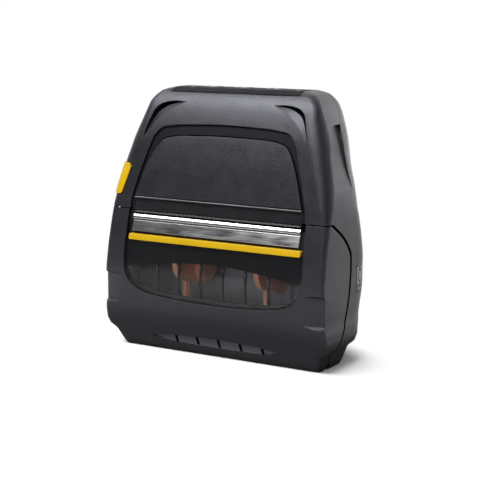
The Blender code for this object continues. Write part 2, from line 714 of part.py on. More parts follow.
def cut(target, other):
    """Take the second solid away from the first."""
    return combine(target, other, "DIFFERENCE")


def keep(target, other):
    """Leave only what both solids share."""
    return combine(target, other, "INTERSECT")


def join(target, other):
    """Merge two touching solids into one."""
    return combine(target, other, "UNION")


def mirror_outline(xs, zs):
    """Closed outline from its right half, listed bottom to top or top to bottom."""
    right = list(zip(xs, zs))
    left = [(-x, z) for x, z in reversed(right) if abs(x) > FIT]
    return right + left


def shrink(outline, amount):
    """Outline moved inwards by an amount, point by point."""
    count = len(outline)
    area = 0.0
    for i in range(count):
        ax, az = outline[i]
        bx, bz = outline[(i + 1) % count]
        area += ax * bz - bx * az
    side = 1.0 if area > 0 else -1.0
    moved = []
    for i in range(count):
        before = Vector(outline[i - 1])
        here = Vector(outline[i])
        after = Vector(outline[(i + 1) % count])
        first = (here - before).normalized()
        second = (after - here).normalized()
        inward = Vector((-first.y - second.y, first.x + second.x)).normalized() * side
        normal = Vector((-first.y, first.x)) * side
        reach = amount / max(inward.dot(normal), MITRE_LEAST_SHARE)
        moved.append(tuple(here + inward * reach))
    return moved


def patch(name, outline, front_inset, back_inset):
    """Piece of the front skin between two insets, inside an outline."""
    piece = skin(name, front_inset)
    keep(piece, prism("patch_outline", "Y", outline, -FAR, 0.0))
    return cut(piece, skin("patch_back", back_inset))


def rect(half, low, high):
    """Centred rectangle outline."""
    return [(-half, low), (half, low), (half, high), (-half, high)]


def rounded_rect(half, low, high, radius, steps):
    """Centred rectangle outline with rounded corners."""
    quarter = math.pi / 2
    points = corner(half - radius, low + radius, radius, -quarter, steps)
    points += corner(half - radius, high - radius, radius, 0.0, steps)
    points += corner(radius - half, high - radius, radius, quarter, steps)
    points += corner(radius - half, low + radius, radius, math.pi, steps)
    return points


def cover_profile(gap):
    """Side profile of the cover, grown by the gap for its opening and its swing."""
    points = [(-FAR, SEAM_TOP + gap)]
    points += [(y + gap, z + gap) for y, z in zip(SEAM_YS, SEAM_ZS)]
    radius = BARREL_RADIUS + gap
    for i in range(BARREL_STEPS + 1):
        angle = BARREL_START - BARREL_TURN * i / BARREL_STEPS
        points.append((HINGE_Y + radius * math.cos(angle), HINGE_Z + radius * math.sin(angle)))
    if gap > 0.0:
        points = [(y, z) for y, z in points if y < HINGE_Y or z > HINGE_Z]
        reach = HINGE_Y + radius + TOE_CLEAR
        points += [(reach, HINGE_Z), (reach, -OVER)]
    else:
        points.append((HINGE_Y - OVER, -OVER))
    points.append((-FAR, -OVER))
    return points


def split_profile(gap):
    """Side profile of everything behind the back cover split."""
    points = [(y + gap, z + gap) for y, z in zip(SPLIT_YS, SPLIT_ZS)]
    points.append((FAR, SPLIT_ZS[-1] + gap))
    points.append((FAR, SPLIT_ZS[0]))
    return points


def recess_cutter(name, side):
    """Wedge that forms the finger recess in one front corner."""
    face = -max(FRONT_DEPTHS)
    reach = RECESS_OUTER - RECESS_INNER
    slope = RECESS_DEPTH / reach
    low = RECESS_LOW
    high = RECESS_HIGH
    verts = []
    for inner, near, far in ((0.0, face - OVER, face - OVER),
                             (RECESS_SLOPE, face, face + slope * reach)):
        for z in (low + inner, high - inner):
            verts.append((side * RECESS_INNER, near, z))
            verts.append((side * RECESS_OUTER, far, z))
    faces = [(0, 1, 3, 2), (4, 6, 7, 5), (0, 4, 5, 1), (2, 3, 7, 6), (0, 2, 6, 4), (1, 5, 7, 3)]
    return make_object(name, verts, faces)


def make_cover_shell():
    """Moulded front cover with flanks, finger recesses and lower grip."""
    shell = skin("cover_shell", 0.0)
    keep(shell, prism("cover_form", "X", cover_profile(0.0), -FAR, FAR))
    cavity = skin("cover_cavity", WALL)
    cut(cavity, block("cavity_floor", (-FAR, FAR), (-FAR, FAR), (-OVER, COVER_FLOOR_BLOCK)))
    for side in (-1.0, 1.0):
        xs = sorted((side * RECESS_INNER, side * FAR))
        cut(cavity, block("recess_backing", xs, (-FAR, BACKING_Y), (BACKING_LOW, BACKING_HIGH)))
    cut(shell, cavity)
    cut(shell, prism("front_opening", "Y", mirror_outline(OPENING_XS, OPENING_ZS), -FAR, HINGE_Y))
    for side in (-1.0, 1.0):
        cut(shell, recess_cutter("finger_recess", side))
        xs = sorted((side * (LUG_INNER - SLOT_CLEAR), side * (LUG_OUTER + SLOT_CLEAR)))
        zs = (-OVER, HINGE_Z + BARREL_RADIUS + SLOT_CLEAR)
        cut(shell, block("lug_slot", xs, (HINGE_Y - BARREL_RADIUS, FAR), zs))
        xs = sorted((side * (HINGE_PIN_INNER - SNUG), side * (HINGE_PIN_OUTER + SNUG)))
        bore = rod("pin_bore", "X", (HINGE_Y, HINGE_Z), HINGE_PIN_RADIUS + SNUG, *xs, PIN_SIDES)
        cut(shell, bore)
    cut(shell, grip_cutter())
    return shell


def grip_cutter():
    """Crescent recess with slanted slots for the lower grip."""
    outline = list(zip(GRIP_XS, GRIP_ZS))
    near = prism("grip_cutter", "Y", outline, -FAR, 0.0)
    cut(near, skin("grip_floor", GRIP_DEPTH))
    for i in range(SLOT_COUNT):
        centre = SLOT_SHIFT + SLOT_PITCH * (i - (SLOT_COUNT - 1) / 2)
        left = centre - SLOT_HALF_WIDTH
        right = centre + SLOT_HALF_WIDTH
        slot = [(left, SLOT_HIGH), (left + SLOT_SLANT, SLOT_LOW),
                (right + SLOT_SLANT, SLOT_LOW), (right, SLOT_HIGH)]
        groove = prism("grip_slot", "Y", slot, -FAR, 0.0)
        cut(groove, skin("slot_floor", SLOT_DEPTH))
        join(near, groove)
    return near


def make_main_housing():
    """Main shell: front arch, sides, media tub and floor."""
    shell = skin("main_housing", 0.0)
    cut(shell, skin("housing_cavity", WALL))
    cut(shell, prism("cover_space", "X", cover_profile(SEAM_GAP), -FAR, FAR))
    cut(shell, prism("back_space", "X", split_profile(0.0), -FAR, FAR))
    cut(shell, prism("arch_space", "Y", mirror_outline(ARCH_XS, ARCH_ZS), -FAR, 0.0))
    for side in (-1.0, 1.0):
        outline = [(side * x, z) for x, z in zip(STRAP_XS, STRAP_ZS)]
        cut(shell, prism("strap_space", "Y", outline, -FAR, 0.0))
        join(shell, make_lug(side))
        xs = sorted((side * HALF_WIDTHS[-1], side * FAR))
        scoop = prism("scoop", "X", list(zip(SCOOP_YS, SCOOP_ZS)), *xs)
        cut(shell, cut(scoop, scoop_floor("scoop_floor")))
    cut(shell, block("panel_space", (-PANEL_HALF - FIT, PANEL_HALF + FIT),
                     (-FAR, PANEL_BACK + FIT), (PANEL_LOW - FIT, FAR)))
    face = shrink(list(zip(BUTTON_FACE_XS, BUTTON_FACE_ZS)), -FIT)
    cut(shell, prism("button_space", "Y", face, -FAR, BUTTON_BACK + BUTTON_BACK_GAP))
    door = skin("door_rebate", -OVER)
    keep(door, block("door_limits", (0.0, FAR), (DOOR_FRONT - FIT, DOOR_BACK + FIT),
                     (DOOR_LOW - FIT, DOOR_HIGH + FIT)))
    cut(door, skin("rebate_floor", DOOR_THICK + DOOR_SEAT_GAP))
    cut(shell, door)
    cut(shell, block("socket_space", (BAY_HALF, FAR),
                     (DOOR_FRONT + HOLE_INSET, DOOR_BACK - HOLE_INSET),
                     (DOOR_LOW + HOLE_INSET, DOOR_HIGH - HOLE_INSET)))
    return shell


def make_lug(side):
    """Hinge lug of the main housing with its bore."""
    xs = sorted((side * LUG_INNER, side * LUG_OUTER))
    lug = rod("lug", "X", (HINGE_Y, HINGE_Z), LUG_RADIUS, *xs)
    join(lug, block("lug_bridge", xs, (HINGE_Y, LUG_BACK), (LUG_LOW, LUG_HIGH)))
    cut(lug, rod("lug_bore", "X", (HINGE_Y, HINGE_Z), HINGE_PIN_RADIUS + HINGE_PIN_SLACK,
                 -FAR, FAR, PIN_SIDES))
    return lug


def make_back_cover():
    """Upper back shell with the battery opening."""
    shell = skin("back_cover", 0.0)
    cut(shell, skin("back_cavity", WALL))
    keep(shell, prism("back_form", "X", split_profile(FIT), -FAR, FAR))
    cut(shell, block("pack_space", (-PACK_HALF - FIT, PACK_HALF + FIT), (0.0, FAR),
                     (PACK_LOW - FIT, PACK_HIGH + FIT)))
    cut(shell, block("catch_space", (-CATCH_HALF - FIT, CATCH_HALF + FIT), (0.0, FAR),
                     (PACK_HIGH, CATCH_HIGH + CATCH_TRAVEL + FIT)))
    cut(shell, block("panel_recess", (-PANEL_HALF - FIT, PANEL_HALF + FIT),
                     (-FAR, PANEL_BACK + FIT), (PANEL_LOW - FIT, FAR)))
    for x, z in screw_spots():
        cut(shell, rod("screw_hole", "Y", (x, z), SCREW_RADIUS + FIT, 0.0, FAR))
    return shell


def screw_spots():
    """Places of the back cover screws."""
    return [(-SCREW_X, SCREW_LOW_Z), (SCREW_X, SCREW_LOW_Z),
            (-SCREW_X, SCREW_HIGH_Z), (SCREW_X, SCREW_HIGH_Z)]


def make_screw(name, x, z):
    """Countersunk screw with a hex socket."""
    half, front, back, front_r, back_r = level(z)
    face = back - WALL / 4
    screw = rod(name, "Y", (x, z), SCREW_RADIUS, face - SCREW_HEAD, face)
    join(screw, rod("shank", "Y", (x, z), SHANK_RADIUS, face - SCREW_DEPTH, face - SCREW_HEAD / 2,
                    PIN_SIDES))
    return cut(screw, rod("hex", "Y", (x, z), HEX_RADIUS, face - HEX_DEPTH, face + OVER,
                    HEX_SIDES))


def make_fascia_parts():
    """Dark arched frame, fascia plate, trim line and exit lip."""
    arch = mirror_outline(ARCH_XS, ARCH_ZS)
    frame = patch("arch_frame", shrink(arch, FIT), FRAME_SET_BACK, FRAME_SET_BACK + FASCIA_THICK)
    fascia = mirror_outline(FASCIA_XS, FASCIA_ZS)
    cut(frame, prism("fascia_space", "Y", shrink(fascia, -FIT), -FAR, 0.0))
    cut(frame, prism("mouth_space", "Y", rect(LIP_HALF + FIT, 0.0, FASCIA_ZS[0]), -FAR, 0.0))
    cut(frame, block("frame_foot", (-FAR, FAR), (-FAR, FAR), (0.0, SEAM_TOP + SEAM_GAP)))
    patch("fascia_plate", fascia, 0.0, FASCIA_THICK)
    patch("fascia_trim", rect(TRIM_HALF, TRIM_LOW, TRIM_HIGH), -FIT, FASCIA_THICK)
    patch("exit_lip", rect(LIP_HALF, LIP_LOW, LIP_HIGH), LIP_SET_BACK, LIP_SET_BACK + LIP_THICK)
    return frame


def make_strap_parts(side, label):
    """Anchor block behind one strap opening and its steel post."""
    outline = [(side * x, z) for x, z in zip(ANCHOR_XS, ANCHOR_ZS)]
    anchor = patch("strap_anchor_" + label, outline, ANCHOR_FRONT, ANCHOR_BACK)
    hole = [(side * x, z) for x, z in zip(STRAP_HOLE_XS, STRAP_HOLE_ZS)]
    cut(anchor, prism("strap_hole", "Y", hole, -FAR, 0.0))
    start = Vector((side * POST_START[0], POST_START[1], POST_START[2]))
    end = Vector((side * POST_END[0], POST_END[1], POST_END[2]))
    cut(anchor, slanted_rod("post_bore", start, end, POST_RADIUS + SNUG))
    slanted_rod("strap_post_" + label, start, end, POST_RADIUS)


def slanted_rod(name, start, end, radius):
    """Round bar between two points."""
    along = (end - start).normalized()
    side = along.cross(Vector((0.0, 1.0, 0.0))).normalized()
    up = side.cross(along)
    verts = []
    for point in (start, end):
        for i in range(PIN_SIDES):
            angle = 2 * math.pi * i / PIN_SIDES
            verts.append(tuple(point + (side * math.cos(angle) + up * math.sin(angle)) * radius))
    faces = [(i, (i + 1) % PIN_SIDES, PIN_SIDES + (i + 1) % PIN_SIDES, PIN_SIDES + i)
             for i in range(PIN_SIDES)]
    faces.append(tuple(range(PIN_SIDES)))
    faces.append(tuple(range(PIN_SIDES, PIN_SIDES + PIN_SIDES)))
    return make_object(name, verts, faces)


def view_top(x):
    """Height of the arched upper edge of the clear area."""
    share = x / VIEW_HALF
    return VIEW_CROWN - VIEW_CROWN_DROP * share * share


def view_bottom(x):
    """Height of the rounded lower edge of the clear area."""
    here = abs(x)
    for i in range(len(VIEW_XS) - 1, 0, -1):
        if VIEW_XS[i] <= here <= VIEW_XS[i - 1]:
            share = (here - VIEW_XS[i]) / (VIEW_XS[i - 1] - VIEW_XS[i])
            return VIEW_ZS[i] + (VIEW_ZS[i - 1] - VIEW_ZS[i]) * share
    return VIEW_ZS[2]


def view_outline():
    """Outline of the clear area of the window."""
    points = mirror_outline(VIEW_XS, VIEW_ZS)
    for i in range(1, VIEW_STEPS):
        x = -VIEW_HALF + 2 * VIEW_HALF * i / VIEW_STEPS
        points.append((x, view_top(x)))
    return points


def make_window_parts():
    """Clear window, its black mask and the ribbed frame behind."""
    outline = shrink(mirror_outline(OPENING_XS, OPENING_ZS), PANEL_GAP)
    window = patch("cover_window", outline, WINDOW_FRONT, WINDOW_BACK)
    keep(window, block("window_limit", (-FAR, FAR), (-FAR, FAR), (0.0, WINDOW_TOP)))
    inner = shrink(outline, PANEL_GAP)
    mask = patch("window_mask", inner, MASK_FRONT, MASK_BACK)
    keep(mask, block("mask_limit", (-FAR, FAR), (-FAR, FAR), (0.0, WINDOW_TOP)))
    cut(mask, prism("mask_view", "Y", view_outline(), -FAR, 0.0))
    frame = patch("window_frame", rect(FRAME_HALF, FRAME_LOW, FRAME_HIGH), FRAME_FRONT, FRAME_BACK)
    edges = [-VIEW_HALF + VIEW_MARGIN]
    for i in range(RIB_COUNT):
        centre = RIB_PITCH * (i - (RIB_COUNT - 1) / 2)
        edges += [centre - RIB_WIDTH / 2, centre + RIB_WIDTH / 2]
    edges.append(VIEW_HALF - VIEW_MARGIN)
    for i in range(0, len(edges), 2):
        left, right = edges[i], edges[i + 1]
        if right - left < 2 * RIB_WIDTH:
            continue
        middle = (left + right) / 2
        points = [(left, view_bottom(left)), (middle, view_bottom(middle)),
                  (right, view_bottom(right)), (right, view_top(right)),
                  (middle, view_top(middle)), (left, view_top(left))]
        cut(frame, prism("rib_window", "Y", points, -FAR, 0.0))


def make_cover_strips():
    """Accent stripe, grey guide strip and bright tear strip of the cover."""
    stripe = rounded_rect(STRIPE_HALF, STRIPE_LOW, STRIPE_HIGH, STRIPE_CORNER, CORNER_STEPS)
    patch("accent_stripe", stripe, STRIPE_FRONT, STRIPE_BACK)
    patch("guide_strip", rect(GUIDE_HALF, GUIDE_LOW, GUIDE_HIGH), GUIDE_FRONT, STRIPE_BACK)
    patch("tear_strip", rect(GUIDE_HALF, TEAR_LOW, TEAR_HIGH), 0.0, STRIPE_BACK)


def gear_outline(teeth, centre, phase):
    """Toothed outline of a spur gear."""
    pitch = GEAR_MODULE * teeth / 2
    tip = pitch + GEAR_MODULE * TIP_SHARE
    root = pitch - GEAR_MODULE * ROOT_SHARE
    turn = 2 * math.pi / teeth
    flank = ((-ROOT_HALF_SHARE, root), (-TIP_HALF_SHARE, tip),
             (TIP_HALF_SHARE, tip), (ROOT_HALF_SHARE, root))
    points = []
    for i in range(teeth):
        for share, radius in flank:
            angle = phase + turn * (i + share)
            points.append((centre[0] + radius * math.cos(angle),
                           centre[1] + radius * math.sin(angle)))
    return points


def gear_centres():
    """Centres of the platen gear, idler and motor pinion."""
    platen = Vector((PLATEN_Y, PLATEN_Z))
    first = GEAR_MODULE * (PLATEN_TEETH + IDLER_TEETH) / 2 + GEAR_BACKLASH
    idler = platen + first * Vector((math.cos(IDLER_BEARING), math.sin(IDLER_BEARING)))
    second = GEAR_MODULE * (IDLER_TEETH + PINION_TEETH) / 2 + GEAR_BACKLASH
    pinion = idler + second * Vector((math.cos(PINION_BEARING), math.sin(PINION_BEARING)))
    return platen, idler, pinion


def make_gear_train():
    """Platen gear, idler, motor pinion and motor."""
    platen, idler, pinion = gear_centres()
    turn = 2 * math.pi
    gear = prism("platen_gear", "X", gear_outline(PLATEN_TEETH, platen, IDLER_BEARING),
                 GEAR_OUTER_X, GEAR_INNER_X)
    cut(gear, rod("gear_bore", "X", platen, SHAFT_RADIUS + SNUG, -FAR, 0.0))
    phase = IDLER_BEARING + math.pi + turn / IDLER_TEETH / 2
    wheel = prism("idler_gear", "X", gear_outline(IDLER_TEETH, idler, phase), GEAR_OUTER_X,
                  GEAR_INNER_X)
    cut(wheel, rod("idler_bore", "X", idler, IDLER_POST_RADIUS + TURN_SLACK, -FAR, 0.0, PIN_SIDES))
    tooth = round((PINION_BEARING - phase) / (turn / IDLER_TEETH))
    off = PINION_BEARING - phase - tooth * turn / IDLER_TEETH
    lean = off * IDLER_TEETH / PINION_TEETH
    start = PINION_BEARING + math.pi + turn / PINION_TEETH / 2 + lean
    small = prism("motor_pinion", "X", gear_outline(PINION_TEETH, pinion, start), GEAR_OUTER_X,
                  GEAR_INNER_X)
    cut(small, rod("pinion_bore", "X", pinion, PINION_BORE + TURN_SLACK, -FAR, 0.0, PIN_SIDES))
    motor = rod("drive_motor", "X", pinion, MOTOR_RADIUS, MOTOR_LEFT, MOTOR_RIGHT)
    join(motor, rod("motor_shaft", "X", pinion, PINION_BORE, GEAR_OUTER_X, MOTOR_LEFT + OVER,
                    PIN_SIDES))
    return motor


def make_platen():
    """Rubber roller, steel shaft and the two bushes."""
    centre = (PLATEN_Y, PLATEN_Z)
    rod("platen_shaft", "X", centre, SHAFT_RADIUS, GEAR_OUTER_X, SHAFT_RIGHT)
    rubber = rod("platen_roller", "X", centre, RUBBER_RADIUS, -RUBBER_HALF, RUBBER_HALF,
                 ROLLER_SIDES)
    cut(rubber, rod("roller_bore", "X", centre, SHAFT_RADIUS + SNUG, -FAR, FAR))
    for side, label in ((-1.0, "left"), (1.0, "right")):
        xs = sorted((side * BUSH_INNER, side * BUSH_OUTER))
        bush = rod("platen_bush_" + label, "X", centre, BUSH_RADIUS, *xs)
        cut(bush, rod("bush_bore", "X", centre, SHAFT_RADIUS + TURN_SLACK, -FAR, FAR))


def make_platen_carrier():
    """Sheet bracket on the cover that holds the platen bushes."""
    front = FRAME_BACK + FIT - level(EAR_HIGH)[1]
    bar = block("platen_carrier", (-EAR_OUTER, EAR_OUTER), (front, front + CARRIER_SHEET),
                (CARRIER_LOW, EAR_HIGH))
    for side in (-1.0, 1.0):
        xs = sorted((side * EAR_INNER, side * EAR_OUTER))
        join(bar, block("ear", xs, (front, EAR_BACK), (EAR_LOW, EAR_HIGH)))
    return cut(bar, rod("bush_seat", "X", (PLATEN_Y, PLATEN_Z), BUSH_RADIUS + SNUG, -FAR, FAR))


def make_print_head():
    """Thermal head plate, finned heatsink and exit bar."""
    block("print_head", (-HEAD_HALF, HEAD_HALF), (HEAD_FRONT, HEAD_BACK), (HEAD_LOW, HEAD_HIGH))
    outline = [(SINK_FRONT, SINK_LOW), (SINK_BACK, SINK_LOW)]
    pitch = (SINK_BACK - SINK_FRONT) / (2 * SINK_FINS - 1)
    for i in range(SINK_FINS):
        right = SINK_BACK - 2 * pitch * i
        left = right - pitch
        outline += [(right, SINK_HIGH), (left, SINK_HIGH)]
        if i < SINK_FINS - 1:
            outline += [(left, SINK_BASE), (left - pitch, SINK_BASE)]
    prism("head_heatsink", "X", outline, -SINK_HALF, SINK_HALF)
    make_exit_bar()


def make_exit_bar():
    """Serrated steel bar above the paper exit."""
    outline = [(EXIT_BAR_HALF, EXIT_BAR_BACK), (-EXIT_BAR_HALF, EXIT_BAR_BACK)]
    pitch = 2 * EXIT_BAR_HALF / EXIT_TEETH
    for i in range(EXIT_TEETH):
        x = -EXIT_BAR_HALF + pitch * i
        outline.append((x, EXIT_BAR_FRONT + EXIT_TOOTH_DEPTH))
        outline.append((x + pitch / 2, EXIT_BAR_FRONT))
    outline.append((EXIT_BAR_HALF, EXIT_BAR_FRONT + EXIT_TOOTH_DEPTH))
    return prism("exit_bar", "Z", outline, EXIT_BAR_LOW, EXIT_BAR_HIGH)


def coil(name, start, axis, length, radius, wire, turns):
    """Coil spring as one closed tube, wound about an axis."""
    verts = []
    faces = []
    count = turns * SPRING_STEPS + 1
    for i in range(count):
        angle = 2 * math.pi * i / SPRING_STEPS
        travel = wire + (length - 2 * wire) * i / (count - 1)
        for j in range(WIRE_SIDES):
            tilt = 2 * math.pi * (j + 0.5) / WIRE_SIDES
            reach = radius - wire + wire * math.cos(tilt)
            along = travel + wire * math.sin(tilt)
            a, b = reach * math.cos(angle), reach * math.sin(angle)
            if axis == "X":
                verts.append((start[0] + along, start[1] + a, start[2] + b))
            else:
                verts.append((start[0] + a, start[1] + b, start[2] + along))
    for i in range(count - 1):
        for j in range(WIRE_SIDES):
            k = (j + 1) % WIRE_SIDES
            base = i * WIRE_SIDES
            faces.append((base + j, base + k, base + WIRE_SIDES + k, base + WIRE_SIDES + j))
    faces.append(tuple(range(WIRE_SIDES)))
    faces.append(tuple(range(len(verts) - WIRE_SIDES, len(verts))))
    return make_object(name, verts, faces)


def make_mechanism():
    """Steel bracket, head springs, latch shaft with hooks and return spring."""
    platen, idler, pinion = gear_centres()
    bracket = block("mechanism_bracket", (-BRACKET_HALF, BRACKET_HALF),
                    (BRACKET_FRONT, BRACKET_BACK), (BRACKET_HIGH - BRACKET_SHEET, BRACKET_HIGH))
    join(bracket, block("bracket_lip", (-BRACKET_LIP_HALF, BRACKET_LIP_HALF),
                        (BRACKET_LIP_FRONT, BRACKET_BACK),
                        (BRACKET_HIGH - BRACKET_SHEET, BRACKET_HIGH)))
    for side in (-1.0, 1.0):
        xs = sorted((side * BRACKET_HALF, side * (BRACKET_HALF - BRACKET_SHEET)))
        join(bracket, block("cheek", xs, (BRACKET_FRONT, BRACKET_BACK), (BRACKET_LOW, BRACKET_HIGH)))
    join(bracket, block("motor_cheek", (-BRACKET_HALF, -BRACKET_HALF + BRACKET_SHEET),
                        (MOTOR_PLATE_FRONT, MOTOR_PLATE_BACK), (MOTOR_PLATE_LOW, BRACKET_HIGH)))
    tab = (PUSH_ROD_FRONT - SPRING_TAB_MARGIN, PUSH_ROD_BACK + SPRING_TAB_MARGIN)
    join(bracket, block("spring_tab", (-BRACKET_HALF, -BRACKET_HALF + BRACKET_SHEET), tab,
                        (BRACKET_LOW, PUSH_ROD_HIGH + SPRING_TAB_MARGIN)))
    latch = (LATCH_Y, LATCH_Z)
    cut(bracket, rod("latch_bore", "X", latch, LATCH_RADIUS + TURN_SLACK, -FAR, FAR, PIN_SIDES))
    cut(bracket, rod("motor_hole", "X", pinion, PINION_BORE + TURN_SLACK, -FAR, 0.0, PIN_SIDES))
    join(bracket, rod("idler_post", "X", idler, IDLER_POST_RADIUS, GEAR_OUTER_X,
                      -BRACKET_HALF + BRACKET_SHEET / 2, PIN_SIDES))
    shaft = rod("latch_shaft", "X", latch, LATCH_RADIUS, -LATCH_END, LATCH_END, PIN_SIDES)
    outline = list(zip(HOOK_YS, HOOK_ZS))
    for side in (-1.0, 1.0):
        xs = sorted((side * HOOK_INNER, side * LATCH_END))
        join(shaft, prism("hook", "X", outline, *xs))
    for side, label in ((-1.0, "left"), (1.0, "right")):
        coil("head_spring_" + label, (side * SPRING_X, SPRING_Y, SPRING_LOW), "Z",
             SPRING_HIGH - SPRING_LOW, SPRING_RADIUS, SPRING_WIRE, SPRING_TURNS)
    middle = ((PUSH_ROD_FRONT + PUSH_ROD_BACK) / 2, (PUSH_ROD_LOW + PUSH_ROD_HIGH) / 2)
    coil("latch_spring", (RETURN_SPRING_LEFT, middle[0], middle[1]), "X",
         RETURN_SPRING_RIGHT - RETURN_SPRING_LEFT, SPRING_RADIUS, SPRING_WIRE, SPRING_TURNS)


def make_bay():
    """Curved media trough with end plates, and the guide rail."""
    outer = []
    inner = []
    for i in range(BAY_STEPS + 1):
        angle = BAY_START + (BAY_END - BAY_START) * i / BAY_STEPS
        spin = (math.cos(angle), math.sin(angle))
        inner.append((BAY_Y + BAY_RADIUS * spin[0], BAY_Z + BAY_RADIUS * spin[1]))
        reach = BAY_RADIUS + BAY_SHEET
        outer.append((BAY_Y + reach * spin[0], BAY_Z + reach * spin[1]))
    span = BAY_HALF + BAY_SHEET / 2
    trough = prism("media_trough", "X", outer + list(reversed(inner)), -span, span)
    plate = list(zip(PLATE_YS, PLATE_ZS))
    for side in (-1.0, 1.0):
        xs = sorted((side * BAY_HALF, side * (BAY_HALF + BAY_SHEET)))
        join(trough, prism("end_plate", "X", plate, *xs))
    block("guide_rail", (-RAIL_HALF, RAIL_HALF), (RAIL_FRONT, RAIL_BACK), (RAIL_LOW, RAIL_HIGH))


def make_guide(side, label):
    """Sliding media guide: side plate, core hub, stem and foot."""
    lobe = circle(LOBE_Y, LOBE_Z, LOBE_RADIUS, LOBE_STEPS)
    xs = sorted((side * GUIDE_X, side * (GUIDE_X + GUIDE_SHEET)))
    guide = prism("media_guide_" + label, "X", lobe, *xs)
    join(guide, prism("tail", "X", circle(BAY_Y, BAY_Z, TAIL_RADIUS, LOBE_STEPS), *xs))
    hub = sorted((side * (GUIDE_X + GUIDE_SHEET / 2), side * (GUIDE_X - HUB_LENGTH)))
    join(guide, rod("hub", "X", (BAY_Y, BAY_Z), HUB_RADIUS, *hub))
    join(guide, block("stem", xs, (STEM_FRONT, STEM_BACK), (RAIL_HIGH, LOBE_Z)))
    foot = sorted((side * (GUIDE_X + GUIDE_SHEET), side * (GUIDE_X - FOOT_LENGTH)))
    join(guide, block("foot", foot, (RAIL_FRONT - FOOT_MARGIN, RAIL_BACK + FOOT_MARGIN),
                      (RAIL_LOW - FOOT_MARGIN, RAIL_HIGH + FOOT_MARGIN)))
    return cut(guide, block("rail_space", (-FAR, FAR),
                            (RAIL_FRONT - FOOT_CLEAR, RAIL_BACK + FOOT_CLEAR),
                            (RAIL_LOW - FOOT_CLEAR, RAIL_HIGH + FOOT_CLEAR)))


def make_electronics():
    """Main board, two sockets, port door and battery contacts."""
    block("main_board", (BOARD_X, BOARD_X + BOARD_SHEET), (BOARD_FRONT, BOARD_BACK),
          (BOARD_LOW, BOARD_HIGH))
    left = BOARD_X + BOARD_SHEET + FIT / 2
    usb = block("usb_socket", (left, SOCKET_RIGHT), (USB_FRONT, USB_BACK), (USB_LOW, USB_HIGH))
    cut(usb, block("usb_mouth", (left + SOCKET_FLOOR, FAR), (USB_FRONT + USB_RIM, USB_BACK - USB_RIM),
                   (USB_LOW + USB_RIM, USB_HIGH - USB_RIM)))
    dc = block("power_socket", (left, SOCKET_RIGHT), (DC_FRONT, DC_BACK), (DC_LOW, DC_HIGH))
    centre = ((DC_FRONT + DC_BACK) / 2, (DC_LOW + DC_HIGH) / 2)
    cut(dc, rod("dc_mouth", "X", centre, DC_BORE, left + SOCKET_FLOOR, FAR))
    door = skin("port_door", 0.0)
    keep(door, block("door_form", (0.0, FAR), (DOOR_FRONT, DOOR_BACK), (DOOR_LOW, DOOR_HIGH)))
    cut(door, skin("door_back", DOOR_THICK))


def make_battery():
    """Battery pack, tray, contacts and the sliding catch."""
    pack = block("battery_pack", (-PACK_HALF, PACK_HALF), (PACK_FRONT, PACK_BACK),
                 (PACK_LOW, PACK_HIGH))
    notch = (CONTACT_HALF + FIT, PACK_FRONT + NOTCH_DEPTH, CONTACT_HIGH + FIT)
    cut(pack, block("contact_notch", (-notch[0], notch[0]), (0.0, notch[1]), (0.0, notch[2])))
    tray = block("battery_tray", (-PACK_HALF - FIT - TRAY_SHEET, PACK_HALF + FIT + TRAY_SHEET),
                 (TRAY_FRONT, TRAY_BACK),
                 (PACK_LOW - FIT - TRAY_SHEET, PACK_HIGH + FIT + TRAY_SHEET))
    cut(tray, block("tray_space", (-PACK_HALF - FIT, PACK_HALF + FIT),
                    (TRAY_FRONT + TRAY_SHEET, FAR), (PACK_LOW - FIT, PACK_HIGH + FIT)))
    cut(tray, block("catch_way", (-CATCH_HALF - FIT, CATCH_HALF + FIT), (CATCH_FRONT - FIT, FAR),
                    (PACK_HIGH, FAR)))
    floor = PACK_LOW - FIT / 2
    contacts = block("battery_contacts", (-CONTACT_HALF, CONTACT_HALF),
                     (TRAY_FRONT + TRAY_SHEET + FIT / 2, PACK_FRONT + CONTACT_DEPTH),
                     (floor, CONTACT_HIGH - CONTACT_RISE))
    pitch = 2 * CONTACT_HALF / BLADE_COUNT
    for i in range(BLADE_COUNT):
        x = -CONTACT_HALF + pitch * i + pitch / 2
        join(contacts, block("blade", (x - BLADE_HALF, x + BLADE_HALF),
                             (PACK_FRONT + BLADE_START, PACK_FRONT + BLADE_END),
                             (floor + BLADE_SUNK, CONTACT_HIGH)))
    block("battery_catch", (-CATCH_HALF, CATCH_HALF), (CATCH_FRONT, CATCH_BACK),
          (CATCH_LOW, CATCH_HIGH))
    for index, (x, z) in enumerate(screw_spots()):
        make_screw("back_screw_" + str(index + 1), x, z)


def key_outline(x, grow):
    """Rounded outline of one key, seen from above."""
    half_w = KEY_HALF_WIDTH + grow
    half_d = KEY_HALF_DEPTH + grow
    points = rounded_rect(half_w, KEY_Y - half_d, KEY_Y + half_d, KEY_CORNER, CORNER_STEPS)
    return [(px + x, py) for px, py in points]


